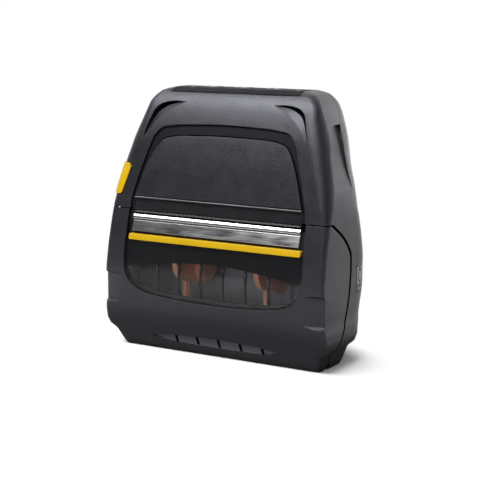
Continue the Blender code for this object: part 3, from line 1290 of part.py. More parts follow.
def make_control_panel():
    """Top panel with three keys, key board and status lenses."""
    panel = skin("control_panel", 0.0)
    keep(panel, block("panel_form", (-PANEL_HALF, PANEL_HALF), (PANEL_FRONT, PANEL_BACK),
                      (PANEL_LOW, FAR)))
    names = ("power_key", "feed_key", "radio_key")
    for index, name in enumerate(names):
        x = KEY_PITCH * (index - 1)
        cut(panel, prism("key_space", "Z", key_outline(x, FIT), KEY_BOARD_HIGH, FAR))
        prism(name, "Z", key_outline(x, 0.0), KEY_LOW, KEY_HIGH)
    for side, label in ((-1.0, "left"), (1.0, "right")):
        spot = (side * LENS_X, KEY_Y)
        cut(panel, rod("lens_space", "Z", spot, LENS_RADIUS + SNUG * 2, 0.0, FAR, PIN_SIDES))
        rod("status_lens_" + label, "Z", spot, LENS_RADIUS, PANEL_LOW, LENS_HIGH, PIN_SIDES)
    block("key_board", (-KEY_BOARD_HALF, KEY_BOARD_HALF), (KEY_BOARD_FRONT, KEY_BOARD_BACK),
          (KEY_BOARD_LOW, KEY_BOARD_HIGH))


def make_release_button():
    """Yellow release button with its push rod."""
    button = skin("release_button", -BUTTON_PROUD)
    face = list(zip(BUTTON_FACE_XS, BUTTON_FACE_ZS))
    keep(button, prism("button_form", "Y", face, -FAR, BUTTON_BACK))
    cut(button, skin("button_back", BUTTON_THICK))
    return join(button, block("push_rod", (-level(PUSH_ROD_HIGH)[0] + BUTTON_THICK / 2, PUSH_ROD_END),
                              (PUSH_ROD_FRONT, PUSH_ROD_BACK), (PUSH_ROD_LOW, PUSH_ROD_HIGH)))


def make_hinge_pins():
    """Steel pins of the cover hinge."""
    for side, label in ((-1.0, "left"), (1.0, "right")):
        xs = sorted((side * HINGE_PIN_INNER, side * HINGE_PIN_OUTER))
        rod("hinge_pin_" + label, "X", (HINGE_Y, HINGE_Z), HINGE_PIN_RADIUS, *xs, PIN_SIDES)


def paint():
    """Give every part its material."""
    shell = material("charcoal_plastic", (0.045, 0.046, 0.05), 0.55)
    dark = material("black_plastic", (0.012, 0.012, 0.014), 0.4)
    fascia = material("fascia_plastic", (0.05, 0.051, 0.055), 0.5)
    clear = material("smoked_window", (0.32, 0.33, 0.36), 0.08, 0.0, 0.85)
    yellow = material("yellow_plastic", (0.8, 0.5, 0.01), 0.4)
    steel = material("bright_steel", (0.75, 0.75, 0.74), 0.25, 1.0)
    satin = material("satin_metal", (0.42, 0.43, 0.45), 0.4, 1.0)
    copper = material("copper_plastic", (0.35, 0.14, 0.09), 0.4)
    rubber = material("black_rubber", (0.02, 0.02, 0.02), 0.8)
    nylon = material("white_nylon", (0.75, 0.74, 0.7), 0.5)
    board = material("board_green", (0.02, 0.12, 0.05), 0.45)
    brass = material("brass_bush", (0.6, 0.42, 0.16), 0.3, 1.0)
    grey = material("key_grey", (0.3, 0.31, 0.33), 0.5)
    lens = material("lens_green", (0.2, 0.6, 0.25), 0.2)
    chosen = {
        "cover_shell": shell, "main_housing": shell, "back_cover": shell, "fascia_plate": fascia,
        "arch_frame": dark, "exit_lip": dark, "fascia_trim": satin, "exit_bar": steel,
        "strap_anchor_left": dark, "strap_anchor_right": dark, "strap_post_left": dark,
        "strap_post_right": dark, "cover_window": clear, "window_mask": dark,
        "window_frame": dark, "accent_stripe": yellow, "guide_strip": satin, "tear_strip": steel,
        "platen_gear": nylon, "idler_gear": nylon, "motor_pinion": brass, "drive_motor": satin,
        "platen_shaft": steel, "platen_roller": rubber,
        "platen_bush_left": brass, "platen_bush_right": brass, "platen_carrier": satin,
        "print_head": dark, "head_heatsink": satin, "mechanism_bracket": satin,
        "latch_shaft": steel, "head_spring_left": steel, "head_spring_right": steel,
        "latch_spring": steel, "media_trough": dark, "guide_rail": steel,
        "media_guide_left": copper, "media_guide_right": copper, "main_board": board,
        "usb_socket": steel, "power_socket": dark, "port_door": rubber, "battery_pack": dark,
        "battery_tray": dark, "battery_contacts": brass, "battery_catch": grey,
        "back_screw_1": steel, "back_screw_2": steel, "back_screw_3": steel,
        "back_screw_4": steel, "control_panel": dark, "power_key": grey, "feed_key": grey,
        "radio_key": grey, "status_lens_left": lens, "status_lens_right": lens,
        "key_board": board, "release_button": yellow, "hinge_pin_left": steel,
        "hinge_pin_right": steel,
    }
    for name, mat in chosen.items():
        obj = bpy.data.objects[name]
        obj.data.materials.clear()
        obj.data.materials.append(mat)


def shade(limit):
    """Smooth shading with sharp edges above an angle."""
    for obj in bpy.context.scene.objects:
        for face in obj.data.polygons:
            face.use_smooth = True
        obj.data.set_sharp_from_angle(angle=limit)


def set_origins():
    """Put the origin of each turning piece on its joint axis."""
    platen, idler, pinion = gear_centres()
    cover = ("cover_shell", "cover_window", "window_mask", "window_frame", "accent_stripe",
             "guide_strip", "tear_strip", "platen_carrier", "platen_bush_left",
             "platen_bush_right", "hinge_pin_left", "hinge_pin_right")
    spots = {
        "platen_shaft": (0.0, platen.x, platen.y),
        "platen_roller": (0.0, platen.x, platen.y),
        "platen_gear": (0.0, platen.x, platen.y),
        "idler_gear": (GEAR_INNER_X, idler.x, idler.y),
        "motor_pinion": (GEAR_INNER_X, pinion.x, pinion.y),
        "latch_shaft": (0.0, LATCH_Y, LATCH_Z),
        "release_button": (BUTTON_PIVOT_X, BUTTON_PIVOT_Y, PUSH_ROD_LOW),
        "port_door": (side_x(DOOR_BACK, DOOR_MIDDLE), DOOR_BACK, DOOR_MIDDLE),
    }
    for name in cover:
        spots[name] = (0.0, HINGE_Y, HINGE_Z)
    for name, spot in spots.items():
        obj = bpy.data.objects[name]
        shift = Vector(spot) * MM
        for vert in obj.data.vertices:
            vert.co -= shift
        obj.location = shift


def main():
    """Build every part in place."""
    clear_scene()
    make_cover_shell()
    make_main_housing()
    make_back_cover()
    make_fascia_parts()
    for side, label in ((-1.0, "left"), (1.0, "right")):
        make_strap_parts(side, label)
        make_guide(side, label)
    make_window_parts()
    make_cover_strips()
    make_gear_train()
    make_platen()
    make_platen_carrier()
    make_print_head()
    make_mechanism()
    make_bay()
    make_electronics()
    make_battery()
    make_control_panel()
    make_release_button()
    make_hinge_pins()
    paint()
    shade(SMOOTH_ANGLE)
    set_origins()


main()
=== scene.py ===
"""Dressed model of the handheld label printer: fine shells, finishes, light and camera."""
import math

import bmesh
import bpy
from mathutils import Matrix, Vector
from mathutils.bvhtree import BVHTree
from mathutils.geometry import intersect_point_line
from mathutils.interpolate import poly_3d_calc


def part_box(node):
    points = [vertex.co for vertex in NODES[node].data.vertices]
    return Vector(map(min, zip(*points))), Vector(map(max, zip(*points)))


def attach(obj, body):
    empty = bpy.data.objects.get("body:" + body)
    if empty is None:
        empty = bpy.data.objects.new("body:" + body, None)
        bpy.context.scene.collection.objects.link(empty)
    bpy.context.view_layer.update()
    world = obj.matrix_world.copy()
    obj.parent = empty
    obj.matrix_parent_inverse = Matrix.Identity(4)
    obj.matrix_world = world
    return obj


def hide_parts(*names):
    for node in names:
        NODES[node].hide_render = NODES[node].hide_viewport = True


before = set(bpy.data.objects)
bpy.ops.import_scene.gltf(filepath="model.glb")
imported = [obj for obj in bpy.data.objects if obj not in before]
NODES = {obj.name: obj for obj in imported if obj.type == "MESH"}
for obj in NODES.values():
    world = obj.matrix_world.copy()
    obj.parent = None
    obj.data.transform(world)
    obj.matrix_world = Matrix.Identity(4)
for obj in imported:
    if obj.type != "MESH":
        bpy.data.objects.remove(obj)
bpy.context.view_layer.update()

# Lengths are in millimetres: reach and overlap of the cutting solids, wall and fit
MM = 0.001
FAR = 400.0
ALL = (-FAR, FAR)
OVER = 3.0
WALL = 2.4
FIT = 0.3
SIDES = {"left": -1.0, "right": 1.0}

# Outer skin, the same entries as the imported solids
HEIGHTS = (0.0, 2.5, 6.0, 10.0, 13.5, 17.0, 24.0, 28.0, 46.0, 60.0, 74.0, 86.0,
           94.0, 104.0, 114.0, 122.0, 130.0, 138.0, 145.0, 150.0, 154.0, 156.5, 158.0)
HALF_WIDTHS = (68.4, 69.0, 69.8, 71.2, 75.4, 76.59, 76.2, 75.5, 75.4, 75.2, 74.9, 74.7,
               74.2, 72.8, 70.7, 68.7, 66.3, 63.3, 60.4, 58.2, 55.2, 51.6, 46.5)
FRONTS = (24.6, 26.4, 28.6, 30.6, 32.0, 33.2, 34.9, 35.4, 35.6, 34.2, 31.6, 29.0,
          27.6, 25.6, 23.5, 21.6, 19.6, 16.9, 14.0, 11.4, 8.4, 5.6, 1.2)
BACKS = (11.5, 14.0, 18.0, 21.4, 22.4, 24.4, 27.8, 29.2, 31.2, 31.2, 28.0, 23.0,
         21.6, 21.3, 21.3, 21.3, 21.3, 21.3, 21.3, 21.0, 20.0, 18.2, 14.5)
FRONT_RADII = (3.0, 2.5, 2.5, 2.5, 2.5, 2.5, 2.5, 2.5, 2.5, 3.0, 3.5, 4.5,
               6.5, 8.0, 9.5, 10.0, 10.0, 9.0, 7.0, 5.0, 4.5, 4.0, 4.0)
BACK_RADII = (14.0, 15.0, 18.0, 21.0, 22.0, 24.0, 26.0, 26.0, 22.5, 21.5, 19.5, 17.0,
              18.0, 18.0, 18.0, 16.0, 12.5, 9.5, 7.5, 7.0, 7.0, 6.0, 4.0)
ROWS = (HALF_WIDTHS, FRONTS, BACKS, FRONT_RADII, BACK_RADII)
SMOOTH_FROM = 5
FRONT_STEPS = 12
BACK_STEPS = 14
LOW_ROWS = (0.0, 2.5, 4.2, 6.0, 8.0, 10.0, 11.7, 13.5, 15.2, 17.0)
ROW_STEP = 2.2
HIGH_ROWS = (156.2, 157.2, 158.0)

# Seams and outlines
SEAM_TOP = 85.6
SEAM_YS = (-24.0, -8.2, -3.6, -1.7, -1.2, -1.9, -4.0, -6.9, -13.4, -18.2)
SEAM_ZS = (85.6, 74.7, 69.6, 66.6, 60.9, 52.0, 40.2, 31.6, 19.4, 14.0)
SEAM_GAP = 0.35
HOUSING_GAPS = (1.6, SEAM_GAP)
JOINT_ZS = (10.0, 88.0)
HINGE_Y = -20.0
HINGE_Z = 5.0
BARREL_RADIUS = 4.2
BARREL_TURN = (75.0, -165.0)
BARREL_PLAY = 0.8
SPLIT_YS = (12.0, 9.6, 4.9, 4.0, 5.6, 8.0, 11.5, 16.0, 60.0)
SPLIT_ZS = (170.0, 140.4, 126.0, 117.0, 108.0, 98.0, 88.0, 81.0, 78.6)
SCOOP_YS = (7.6, -1.4, -7.2, -12.0, -15.9, -17.0, -16.0, 6.4, 2.8, 2.4, 4.2)
SCOOP_ZS = (139.4, 138.6, 134.4, 126.5, 117.4, 106.0, 98.0, 98.0, 109.0, 118.0, 128.0)
ARCH_XS = (60.0, 60.0, 57.0, 54.0, 50.8, 48.4, 44.0, 36.0, 20.0, 0.0)
ARCH_ZS = (80.0, 90.0, 103.0, 113.0, 123.0, 129.6, 134.3, 136.1, 137.2, 137.7)
FASCIA_XS = (57.4, 56.1, 53.0, 49.9, 46.2, 42.2, 36.0, 20.0, 0.0)
FASCIA_ZS = (93.4, 98.0, 108.0, 116.0, 123.0, 127.6, 129.5, 130.6, 131.0)
STRAP_XS = (30.4, 36.0, 42.5, 47.5, 50.9, 53.2, 55.2, 56.4, 53.6, 50.6, 47.4, 43.6, 38.2)
STRAP_ZS = (149.9, 150.2, 149.8, 148.4, 145.8, 140.4, 134.0, 128.5,
            132.2, 136.6, 139.8, 142.8, 146.4)
STRAP_TIP = 7
OPENING_XS = (60.4, 61.4, 61.6, 61.0, 58.6, 54.6, 49.0, 38.0, 20.0, 0.0)
OPENING_ZS = (95.0, 66.0, 58.0, 51.0, 44.0, 39.6, 37.0, 35.2, 33.8, 33.3)
GRIP_TOP = ((-45.0, 9.0), (-38.0, 10.3), (-27.0, 11.5), (-9.0, 12.2), (9.0, 12.2),
            (27.0, 11.5), (38.0, 10.3), (45.0, 9.0))
GRIP_LOW = ((45.0, 9.0), (36.0, 7.1), (22.0, 6.6), (7.0, 6.4), (-7.0, 6.4), (-22.0, 6.6),
            (-36.0, 7.1), (-45.0, 9.0))

def hermite(ends, slopes, gap, t):
    """Place on the smooth run between two ends that has these slopes there."""
    return (ends[0] * (1 + 2 * t) * (1 - t) ** 2 + slopes[0] * (gap * t * (1 - t) ** 2)
            + ends[1] * (t * t * (3 - 2 * t)) + slopes[1] * (gap * t * t * (t - 1)))


def monotone(xs, ys):
    """Smooth curve through points that never overshoots them."""
    last = len(xs) - 2
    gaps = [b - a for a, b in zip(xs, xs[1:])]
    slopes = [(b - a) / gap for a, b, gap in zip(ys, ys[1:], gaps)]
    tangents = [slopes[0]]
    for i in range(1, last + 1):
        a, b = slopes[i - 1], slopes[i]
        wa = 2 * gaps[i] + gaps[i - 1]
        wb = gaps[i] + 2 * gaps[i - 1]
        tangents.append((wa + wb) / (wa / a + wb / b) if a * b > 0.0 else 0.0)
    tangents.append(slopes[-1])

    def value(x):
        i = 0
        while i < last and x > xs[i + 1]:
            i += 1
        return hermite(ys[i:i + 2], tangents[i:i + 2], gaps[i], (x - xs[i]) / gaps[i])
    return value


UPPER = [monotone(HEIGHTS[SMOOTH_FROM:], row[SMOOTH_FROM:]) for row in ROWS]


def level(z):
    """Skin sizes at one height."""
    z = min(max(z, 0.0), HEIGHTS[-1])
    if z >= HEIGHTS[SMOOTH_FROM]:
        return [run(z) for run in UPPER]
    i = 0
    while z > HEIGHTS[i + 1]:
        i += 1
    t = (z - HEIGHTS[i]) / (HEIGHTS[i + 1] - HEIGHTS[i])
    return [row[i] + (row[i + 1] - row[i]) * t for row in ROWS]


def front_y(z, inset):
    """Depth of the front skin at a height."""
    return inset - level(z)[1]


def corner(cx, cy, radius, start, steps, turn=math.pi / 2):
    """Points of a turn from the start angle."""
    return [(cx + radius * math.cos(start + turn * i / steps),
             cy + radius * math.sin(start + turn * i / steps)) for i in range(steps + 1)]


def circle(centre, radius, sides):
    """Round outline."""
    turn = 2 * math.pi / sides
    return [(centre[0] + radius * math.cos(turn * i), centre[1] + radius * math.sin(turn * i))
            for i in range(sides)]


def span(side, near, far):
    """Limits across the part on one side of its middle."""
    return sorted((side * near, side * far))


def grown(limits, amount):
    """Limits moved apart by an amount at each end."""
    return limits[0] - amount, limits[1] + amount


def ring(z, inset):
    """Closed outline of the skin at one height."""
    half, front, back, front_r, back_r = level(z)
    half, front, back = half - inset, front - inset, back - inset
    front_r, back_r = max(front_r - inset, 0.4), max(back_r - inset, 0.4)
    right_back = corner(half - back_r, back - back_r, back_r, 0.0, BACK_STEPS)
    right_front = corner(half - front_r, front_r - front, front_r, -math.pi / 2, FRONT_STEPS)
    left_back = [(-x, y) for x, y in reversed(right_back)]
    left_front = [(-x, y) for x, y in reversed(right_front)]
    return right_front + right_back + left_back + left_front


def make_object(verts, faces):
    """Mesh object from points in millimetres."""
    mesh = bpy.data.meshes.new("piece")
    mesh.from_pydata([Vector(v) * MM for v in verts], [], faces)
    work = bmesh.new()
    work.from_mesh(mesh)
    bmesh.ops.recalc_face_normals(work, faces=work.faces)
    work.to_mesh(mesh)
    work.free()
    obj = bpy.data.objects.new("piece", mesh)
    bpy.context.scene.collection.objects.link(obj)
    return obj


def stack(loops, closed=False):
    """Solid through loops of points; it closes on its first loop, or has a cap at each end."""
    rows, count = len(loops), len(loops[0])
    faces = []
    for row in range(rows if closed else rows - 1):
        here, there = row * count, (row + 1) % rows * count
        for i in range(count):
            j = (i + 1) % count
            faces.append((here + i, here + j, there + j, there + i))
    if not closed:
        faces += [tuple(range(count)), tuple(range((rows - 1) * count, rows * count))]
    return make_object([point for loop in loops for point in loop], faces)


def skin_rows():
    """Heights of the fine skin rows."""
    rows = []
    z = LOW_ROWS[-1] + ROW_STEP
    while z < HIGH_ROWS[0] - 0.2:
        rows.append(z)
        z += ROW_STEP
    return [*LOW_ROWS, *rows, *HIGH_ROWS]


def loft(heights, inset_at):
    """Solid through the skin outlines at the given heights."""
    return stack([[(x, y, z) for x, y in ring(z, inset_at(z))] for z in heights])


def skin(inset):
    """Solid of the outer form, offset inwards by the inset."""
    low = max(inset, 0.0)
    high = HEIGHTS[-1] - low
    heights = [low] + [h for h in skin_rows() if low + 0.2 < h < high - 0.2] + [high]
    return loft(heights, lambda z: inset)


def prism(axis, outline, low, high):
    """Outline pushed along one axis between two positions."""
    spot = {"X": lambda a, b, p: (p, a, b), "Y": lambda a, b, p: (a, p, b),
            "Z": lambda a, b, p: (a, b, p)}[axis]
    return stack([[spot(a, b, p) for a, b in outline] for p in (low, high)])


def front_prism(outline):
    """Outline pushed through the front half of the part."""
    return prism("Y", outline, -FAR, 0.0)


def side_prism(profile):
    """Side profile pushed through the whole width."""
    return prism("X", profile, *ALL)


def block(xs, ys, zs):
    """Box between pairs of limits."""
    outline = [(xs[0], ys[0]), (xs[1], ys[0]), (xs[1], ys[1]), (xs[0], ys[1])]
    return prism("Z", outline, *zs)


def rod(axis, centre, radius, low, high, sides=32):
    """Round bar along one axis."""
    return prism(axis, circle(centre, radius, sides), low, high)


def tube(axis, centre, outer, inner, low, high, sides=72):
    """Ring along one axis."""
    bore = rod(axis, centre, inner, low - OVER, high + OVER, sides)
    return cut(rod(axis, centre, outer, low, high, sides), bore)


def lathe(profile, centre, sides=72):
    """Ring-shaped solid turned about a line along X."""
    return stack([[(x, centre[0] + radius * a, centre[1] + radius * b) for x, radius in profile]
                  for a, b in circle((0.0, 0.0), 1.0, sides)], True)


def cushion(outline, base, top, edge, spot, steps=5):
    """Plate with a rounded top edge; spot turns an outline point and a height into a place."""
    sign = 1.0 if top < base else -1.0
    loops = [[spot(a, b, base) for a, b in outline]]
    for k in range(steps + 1):
        angle = math.pi / 2 * k / steps
        inward = edge * (1 - math.cos(angle))
        height = top + sign * edge * (1 - math.sin(angle))
        loop = shrink(outline, inward) if inward > 0.0 else outline
        loops.append([spot(a, b, height) for a, b in loop])
    return stack(loops)


def coil(start, axis, length, turns=3, radius=2.6, wire=0.45):
    """Round wire spring wound about an axis, with capped ends."""
    steps = 24
    loops = []
    for i in range(turns * steps + 1):
        angle = 2 * math.pi * i / steps
        travel = wire + (length - 2 * wire) * i / (turns * steps)
        loops.append([])
        for reach, run in circle((radius - wire, travel), wire, 10):
            a, b = reach * math.cos(angle), reach * math.sin(angle)
            spot = (run, a, b) if axis == "X" else (a, b, run)
            loops[-1].append(tuple(Vector(start) + Vector(spot)))
    return stack(loops)


def soften(obj, width, segments=3):
    """Round every sharp edge of a simple piece."""
    step = obj.modifiers.new("soften", "BEVEL")
    step.width = width * MM
    step.segments = segments
    step.limit_method = "ANGLE"
    step.angle_limit = math.radians(35.0)
    return apply(obj, step)


def apply(obj, step):
    """Make the mesh that a modifier gives the object's own, and drop the modifier."""
    graph = bpy.context.evaluated_depsgraph_get()
    mesh = bpy.data.meshes.new_from_object(obj.evaluated_get(graph))
    obj.modifiers.remove(step)
    old = obj.data
    obj.data = mesh
    bpy.data.meshes.remove(old)
    mesh.name = obj.name
    return obj


def combine(target, other, operation):
    """Boolean of two solids; the second one is used up."""
    step = target.modifiers.new("combine", "BOOLEAN")
    step.operation = operation
    step.solver = "EXACT"
    step.object = other
    apply(target, step)
    bpy.data.objects.remove(other, do_unlink=True)
    return target


def cut(target, other):
    """Take the second solid away from the first."""
    return combine(target, other, "DIFFERENCE")


def keep(target, other):
    """Leave only what both solids share."""
    return combine(target, other, "INTERSECT")


def join(target, other):
    """Merge two touching solids into one."""
    return combine(target, other, "UNION")


def curve(points, pitch=1.6):
    """Smooth run through unevenly spaced points, ends included."""
    spots = [Vector(p) for p in points]
    gaps = [(b - a).length for a, b in zip(spots, spots[1:])]
    slopes = [(b - a) / gap for a, b, gap in zip(spots, spots[1:], gaps)]
    tangents = [slopes[0]]
    for i in range(1, len(slopes)):
        mix = slopes[i - 1] * gaps[i] + slopes[i] * gaps[i - 1]
        tangents.append(mix / (gaps[i - 1] + gaps[i]))
    tangents.append(slopes[-1])
    out = []
    for i, gap in enumerate(gaps):
        steps = max(2, min(8, round(gap / pitch)))
        out += [tuple(hermite(spots[i:i + 2], tangents[i:i + 2], gap, s / steps))
                for s in range(steps)]
    return out + [tuple(points[-1])]


def arch(xs, zs):
    """Smooth symmetric outline from its right half."""
    right = list(zip(xs, zs))
    left = [(-x, z) for x, z in reversed(right[:-1])]
    return curve(right + left)


def shrink(outline, amount):
    """Outline moved inwards by an amount, point by point."""
    n = len(outline)
    area = sum(outline[i][0] * outline[(i + 1) % n][1] - outline[(i + 1) % n][0] * outline[i][1]
               for i in range(n))
    side = 1.0 if area > 0 else -1.0
    moved = []
    for i in range(n):
        before, here, after = (Vector(outline[i - 1]), Vector(outline[i]),
                               Vector(outline[(i + 1) % n]))
        first = (here - before).normalized()
        second = (after - here).normalized()
        inward = Vector((-first.y - second.y, first.x + second.x)).normalized() * side
        normal = Vector((-first.y, first.x)) * side
        moved.append(tuple(here + inward * (amount / max(inward.dot(normal), 0.4))))
    return moved


def layer(limits, outer, inner):
    """Piece of the outer form between two insets, inside a solid that limits it."""
    return cut(keep(skin(outer), limits), skin(inner))


def patch(outline, outer, inner):
    """Piece of the front skin between two insets, inside an outline."""
    return layer(front_prism(outline), outer, inner)


def rect(half, low, high):
    """Centred rectangle outline."""
    return [(-half, low), (half, low), (half, high), (-half, high)]


def rounded(x0, x1, z0, z1, radius, steps=5):
    """Rectangle outline with rounded corners."""
    quarter = math.pi / 2
    return (corner(x1 - radius, z0 + radius, radius, -quarter, steps)
            + corner(x1 - radius, z1 - radius, radius, 0.0, steps)
            + corner(x0 + radius, z1 - radius, radius, quarter, steps)
            + corner(x0 + radius, z0 + radius, radius, math.pi, steps))


REFERENCE = {}


def reference(inset):
    """Search tree of one skin with its smooth corner normals."""
    if inset not in REFERENCE:
        obj = skin(inset)
        mesh = obj.data
        verts = [v.co.copy() for v in mesh.vertices]
        normals = [v.normal.copy() for v in mesh.vertices]
        count = len(ring(0.0, 0.0))
        polys = [tuple(p.vertices) for p in mesh.polygons if len(p.vertices) < count]
        REFERENCE[inset] = (verts, normals, polys, BVHTree.FromPolygons(verts, polys))
        bpy.data.objects.remove(obj, do_unlink=True)
    return REFERENCE[inset]


SHARP_ANGLE = 32.0
ON_SKIN = 0.06
NEAR_SKIN = 0.08
SAME_WAY = 0.93


def dress(obj, inset):
    """Smooth shading; with an inset, faces on that skin take the skin's own normals."""
    mesh = obj.data
    mesh.shade_smooth()
    mesh.set_sharp_from_angle(angle=math.radians(SHARP_ANGLE))
    if inset is None:
        return
    verts, normals, polys, tree = reference(inset)
    chosen = [(0.0, 0.0, 0.0)] * len(mesh.loops)
    for poly in mesh.polygons:
        spot, normal, index, gap = tree.find_nearest(poly.center)
        if gap is None or gap > ON_SKIN * MM or abs(normal.dot(poly.normal)) < SAME_WAY:
            continue
        for k in poly.loop_indices:
            point = mesh.vertices[mesh.loops[k].vertex_index].co
            spot, normal, index, gap = tree.find_nearest(point)
            if gap > NEAR_SKIN * MM:
                continue
            weights = poly_3d_calc([verts[c] for c in polys[index]], spot)
            blend = Vector((0.0, 0.0, 0.0))
            for weight, c in zip(weights, polys[index]):
                blend += normals[c] * weight
            chosen[k] = tuple(blend.normalized())
    mesh.normals_split_custom_set(chosen)


# Finishes

NOISE_RANGE = (0.3, 0.7)
EVEN = (1.0, 1.0, 1.0)
ALONG_X = (0.03, 1.0, 1.0)

SHEEN = (0.88, 0.89, 1.0)
CHARCOAL = (0.0078, 0.0080, 0.0094)
BLACK = (0.008, 0.008, 0.009)
# black of the arch band, set darker than the black plastic as painted shade on the recessed band
ARCH_BLACK_AND_SHADE = (0.006, 0.006, 0.007)
# painted shade: near-black for the walls of the seam joints, where shadow falls
JOINT_SHADE_BLACK = (0.002, 0.002, 0.002)
BATTERY_BLACK = (0.011, 0.011, 0.012)
GLOSS = (0.0065, 0.0065, 0.0075)
# painted light: lighter grey for the grip tabs, standing for their lit upper faces
TAB_LIT_GREY = (0.075, 0.077, 0.083)
TROUGH_GREY = (0.30, 0.30, 0.325)
YELLOW = (0.47, 0.29, 0.002)
COPPER = (0.74, 0.33, 0.19)
STEEL = (0.78, 0.78, 0.77)
POLISHED = (0.72, 0.72, 0.715)
GREY_METAL = (0.40, 0.405, 0.42)
DARK_METAL = (0.16, 0.16, 0.165)
MOTTLE_DARK = (0.16, 0.162, 0.166)
MOTTLE_LIGHT = (0.74, 0.745, 0.76)
MOTTLE_SLOPE = (-0.057, 0.057, 0.46, 0.72)
BRASS = (0.62, 0.44, 0.18)
NYLON = (0.74, 0.73, 0.69)
RUBBER = (0.016, 0.016, 0.017)
KEY_GREY = (0.07, 0.072, 0.078)
BOARD = (0.015, 0.10, 0.04)
PRINT = (0.80, 0.81, 0.82)
SMOKE = (0.02, 0.02, 0.022)
SMOKE_DARK = (0.018, 0.018, 0.02)
SMOKE_LIGHT = (0.026, 0.026, 0.029)
LENS = (0.16, 0.5, 0.2)
LENS_DARK = (0.12, 0.42, 0.16)
LENS_LIGHT = (0.2, 0.58, 0.25)


def feed(tree, node, inputs):
    """Give a node its inputs, each as a value or as the socket that leads to it."""
    for name, value in inputs.items():
        if isinstance(value, bpy.types.NodeSocket):
            tree.links.new(value, node.inputs[name])
        else:
            node.inputs[name].default_value = value


def add_node(tree, kind, inputs, **settings):
    """New shader node with its settings and inputs."""
    node = tree.nodes.new("ShaderNode" + kind)
    for name, value in settings.items():
        setattr(node, name, value)
    feed(tree, node, inputs)
    return node


def calculate(tree, operation, first, second):
    """One sum on two values."""
    return add_node(tree, "Math", {0: first, 1: second}, operation=operation).outputs["Value"]


def remap(tree, source, start, end, low, high, **settings):
    """Value moved from one range to another."""
    inputs = {"Value": source, "From Min": start, "From Max": end, "To Min": low, "To Max": high}
    return add_node(tree, "MapRange", inputs, **settings).outputs["Result"]


def coordinate(tree, space, axis):
    """One coordinate of the part, or of the direction that the world is seen in."""
    coords = add_node(tree, "TexCoord", {})
    return add_node(tree, "SeparateXYZ", {"Vector": coords.outputs[space]}).outputs[axis]


def noise(tree, scale, detail=2.0, stretch=EVEN):
    """Noise in the part's own metres, stretched along chosen axes."""
    coords = add_node(tree, "TexCoord", {})
    mapping = add_node(tree, "Mapping", {"Vector": coords.outputs["Object"], "Scale": stretch})
    inputs = {"Vector": mapping.outputs["Vector"], "Scale": scale, "Detail": detail}
    return add_node(tree, "TexNoise", inputs).outputs["Fac"]


def spread(tree, source, low, high):
    """Noise value mapped to a range."""
    return remap(tree, source, *NOISE_RANGE, low, high)


def scaled(colour, factor):
    """Colour made lighter or darker."""
    return tuple(min(c * factor, 1.0) for c in colour)


def finish(name, colour, inputs):
    """New node material with its main shader."""
    mat = bpy.data.materials.new(name)
    mat.use_nodes = True
    mat.diffuse_color = (*colour, 1.0)
    shader = mat.node_tree.nodes["Principled BSDF"]
    feed(mat.node_tree, shader, {"Base Color": (*colour, 1.0), **inputs})
    return mat, mat.node_tree, shader


def tint(tree, shader, source, first, second):
    """Base colour that moves between two colours."""
    ramp = add_node(tree, "ValToRGB", {"Fac": source})
    for stop, where, colour in zip(ramp.color_ramp.elements, NOISE_RANGE, (first, second)):
        stop.position = where
        stop.color = (*colour, 1.0)
    feed(tree, shader, {"Base Color": ramp.outputs["Color"]})


def vary_tint(tree, shader, source, colour, share):
    """Base colour that is a share lighter and darker in places."""
    tint(tree, shader, source, scaled(colour, 1.0 - share), scaled(colour, 1.0 + share))


def relief(tree, shader, source, height, round_edge=0.0):
    """Fine surface relief, with the edges rounded off by a radius."""
    inputs = {"Strength": 1.0, "Distance": height * MM, "Height": source}
    if round_edge > 0.0:
        bevel = add_node(tree, "Bevel", {"Radius": round_edge * MM}, samples=4)
        inputs["Normal"] = bevel.outputs["Normal"]
    feed(tree, shader, {"Normal": add_node(tree, "Bump", inputs).outputs["Normal"]})


def plastic(name, colour, rough, grain, specular=0.5, round_edge=0.35, vary=0.12):
    """Moulded plastic: fine grain, uneven sheen and slightly uneven colour."""
    mat, tree, shader = finish(name, colour, {
        "Roughness": rough, "Specular IOR Level": specular, "Specular Tint": (*SHEEN, 1.0)})
    vary_tint(tree, shader, noise(tree, 46.0, 4.0), colour, vary)
    feed(tree, shader, {
        "Roughness": spread(tree, noise(tree, 130.0, 3.0), rough - 0.05, rough + 0.05)})
    grains = add_node(tree, "Mix", {
        "Factor": 0.35, "A": noise(tree, 1500.0, 3.0), "B": noise(tree, 3000.0)})
    relief(tree, shader, grains.outputs["Result"], grain, round_edge)
    return mat


def metal(name, colour, rough, stretch=ALONG_X, round_edge=0.2, streak=0.16):
    """Drawn or ground metal with fine streaks along one axis."""
    mat, tree, shader = finish(name, colour, {"Roughness": rough, "Metallic": 1.0})
    lines = noise(tree, 900.0, 4.0, stretch)
    vary_tint(tree, shader, lines, colour, streak)
    feed(tree, shader, {
        "Roughness": spread(tree, noise(tree, 160.0, 4.0, stretch), rough - 0.07, rough + 0.08)})
    relief(tree, shader, lines, 0.006, round_edge)
    return mat


def clear_plastic(name, colour, rough, shades, scales, sheen, height, round_edge, inputs):
    """Smooth plastic whose colour, gloss and surface move in broad soft waves."""
    mat, tree, shader = finish(name, colour, {"Roughness": rough, **inputs})
    tint(tree, shader, noise(tree, scales[0], 3.0), *shades)
    feed(tree, shader, {"Roughness": spread(tree, noise(tree, scales[1], scales[2]), *sheen)})
    relief(tree, shader, noise(tree, scales[3]), height, round_edge)
    return mat


def lens_material():
    """Green status lens."""
    mat, tree, shader = finish("lens_green", LENS, {"Roughness": 0.15})
    tint(tree, shader, noise(tree, 900.0), LENS_DARK, LENS_LIGHT)
    relief(tree, shader, noise(tree, 1800.0), 0.01, 0.2)
    return mat


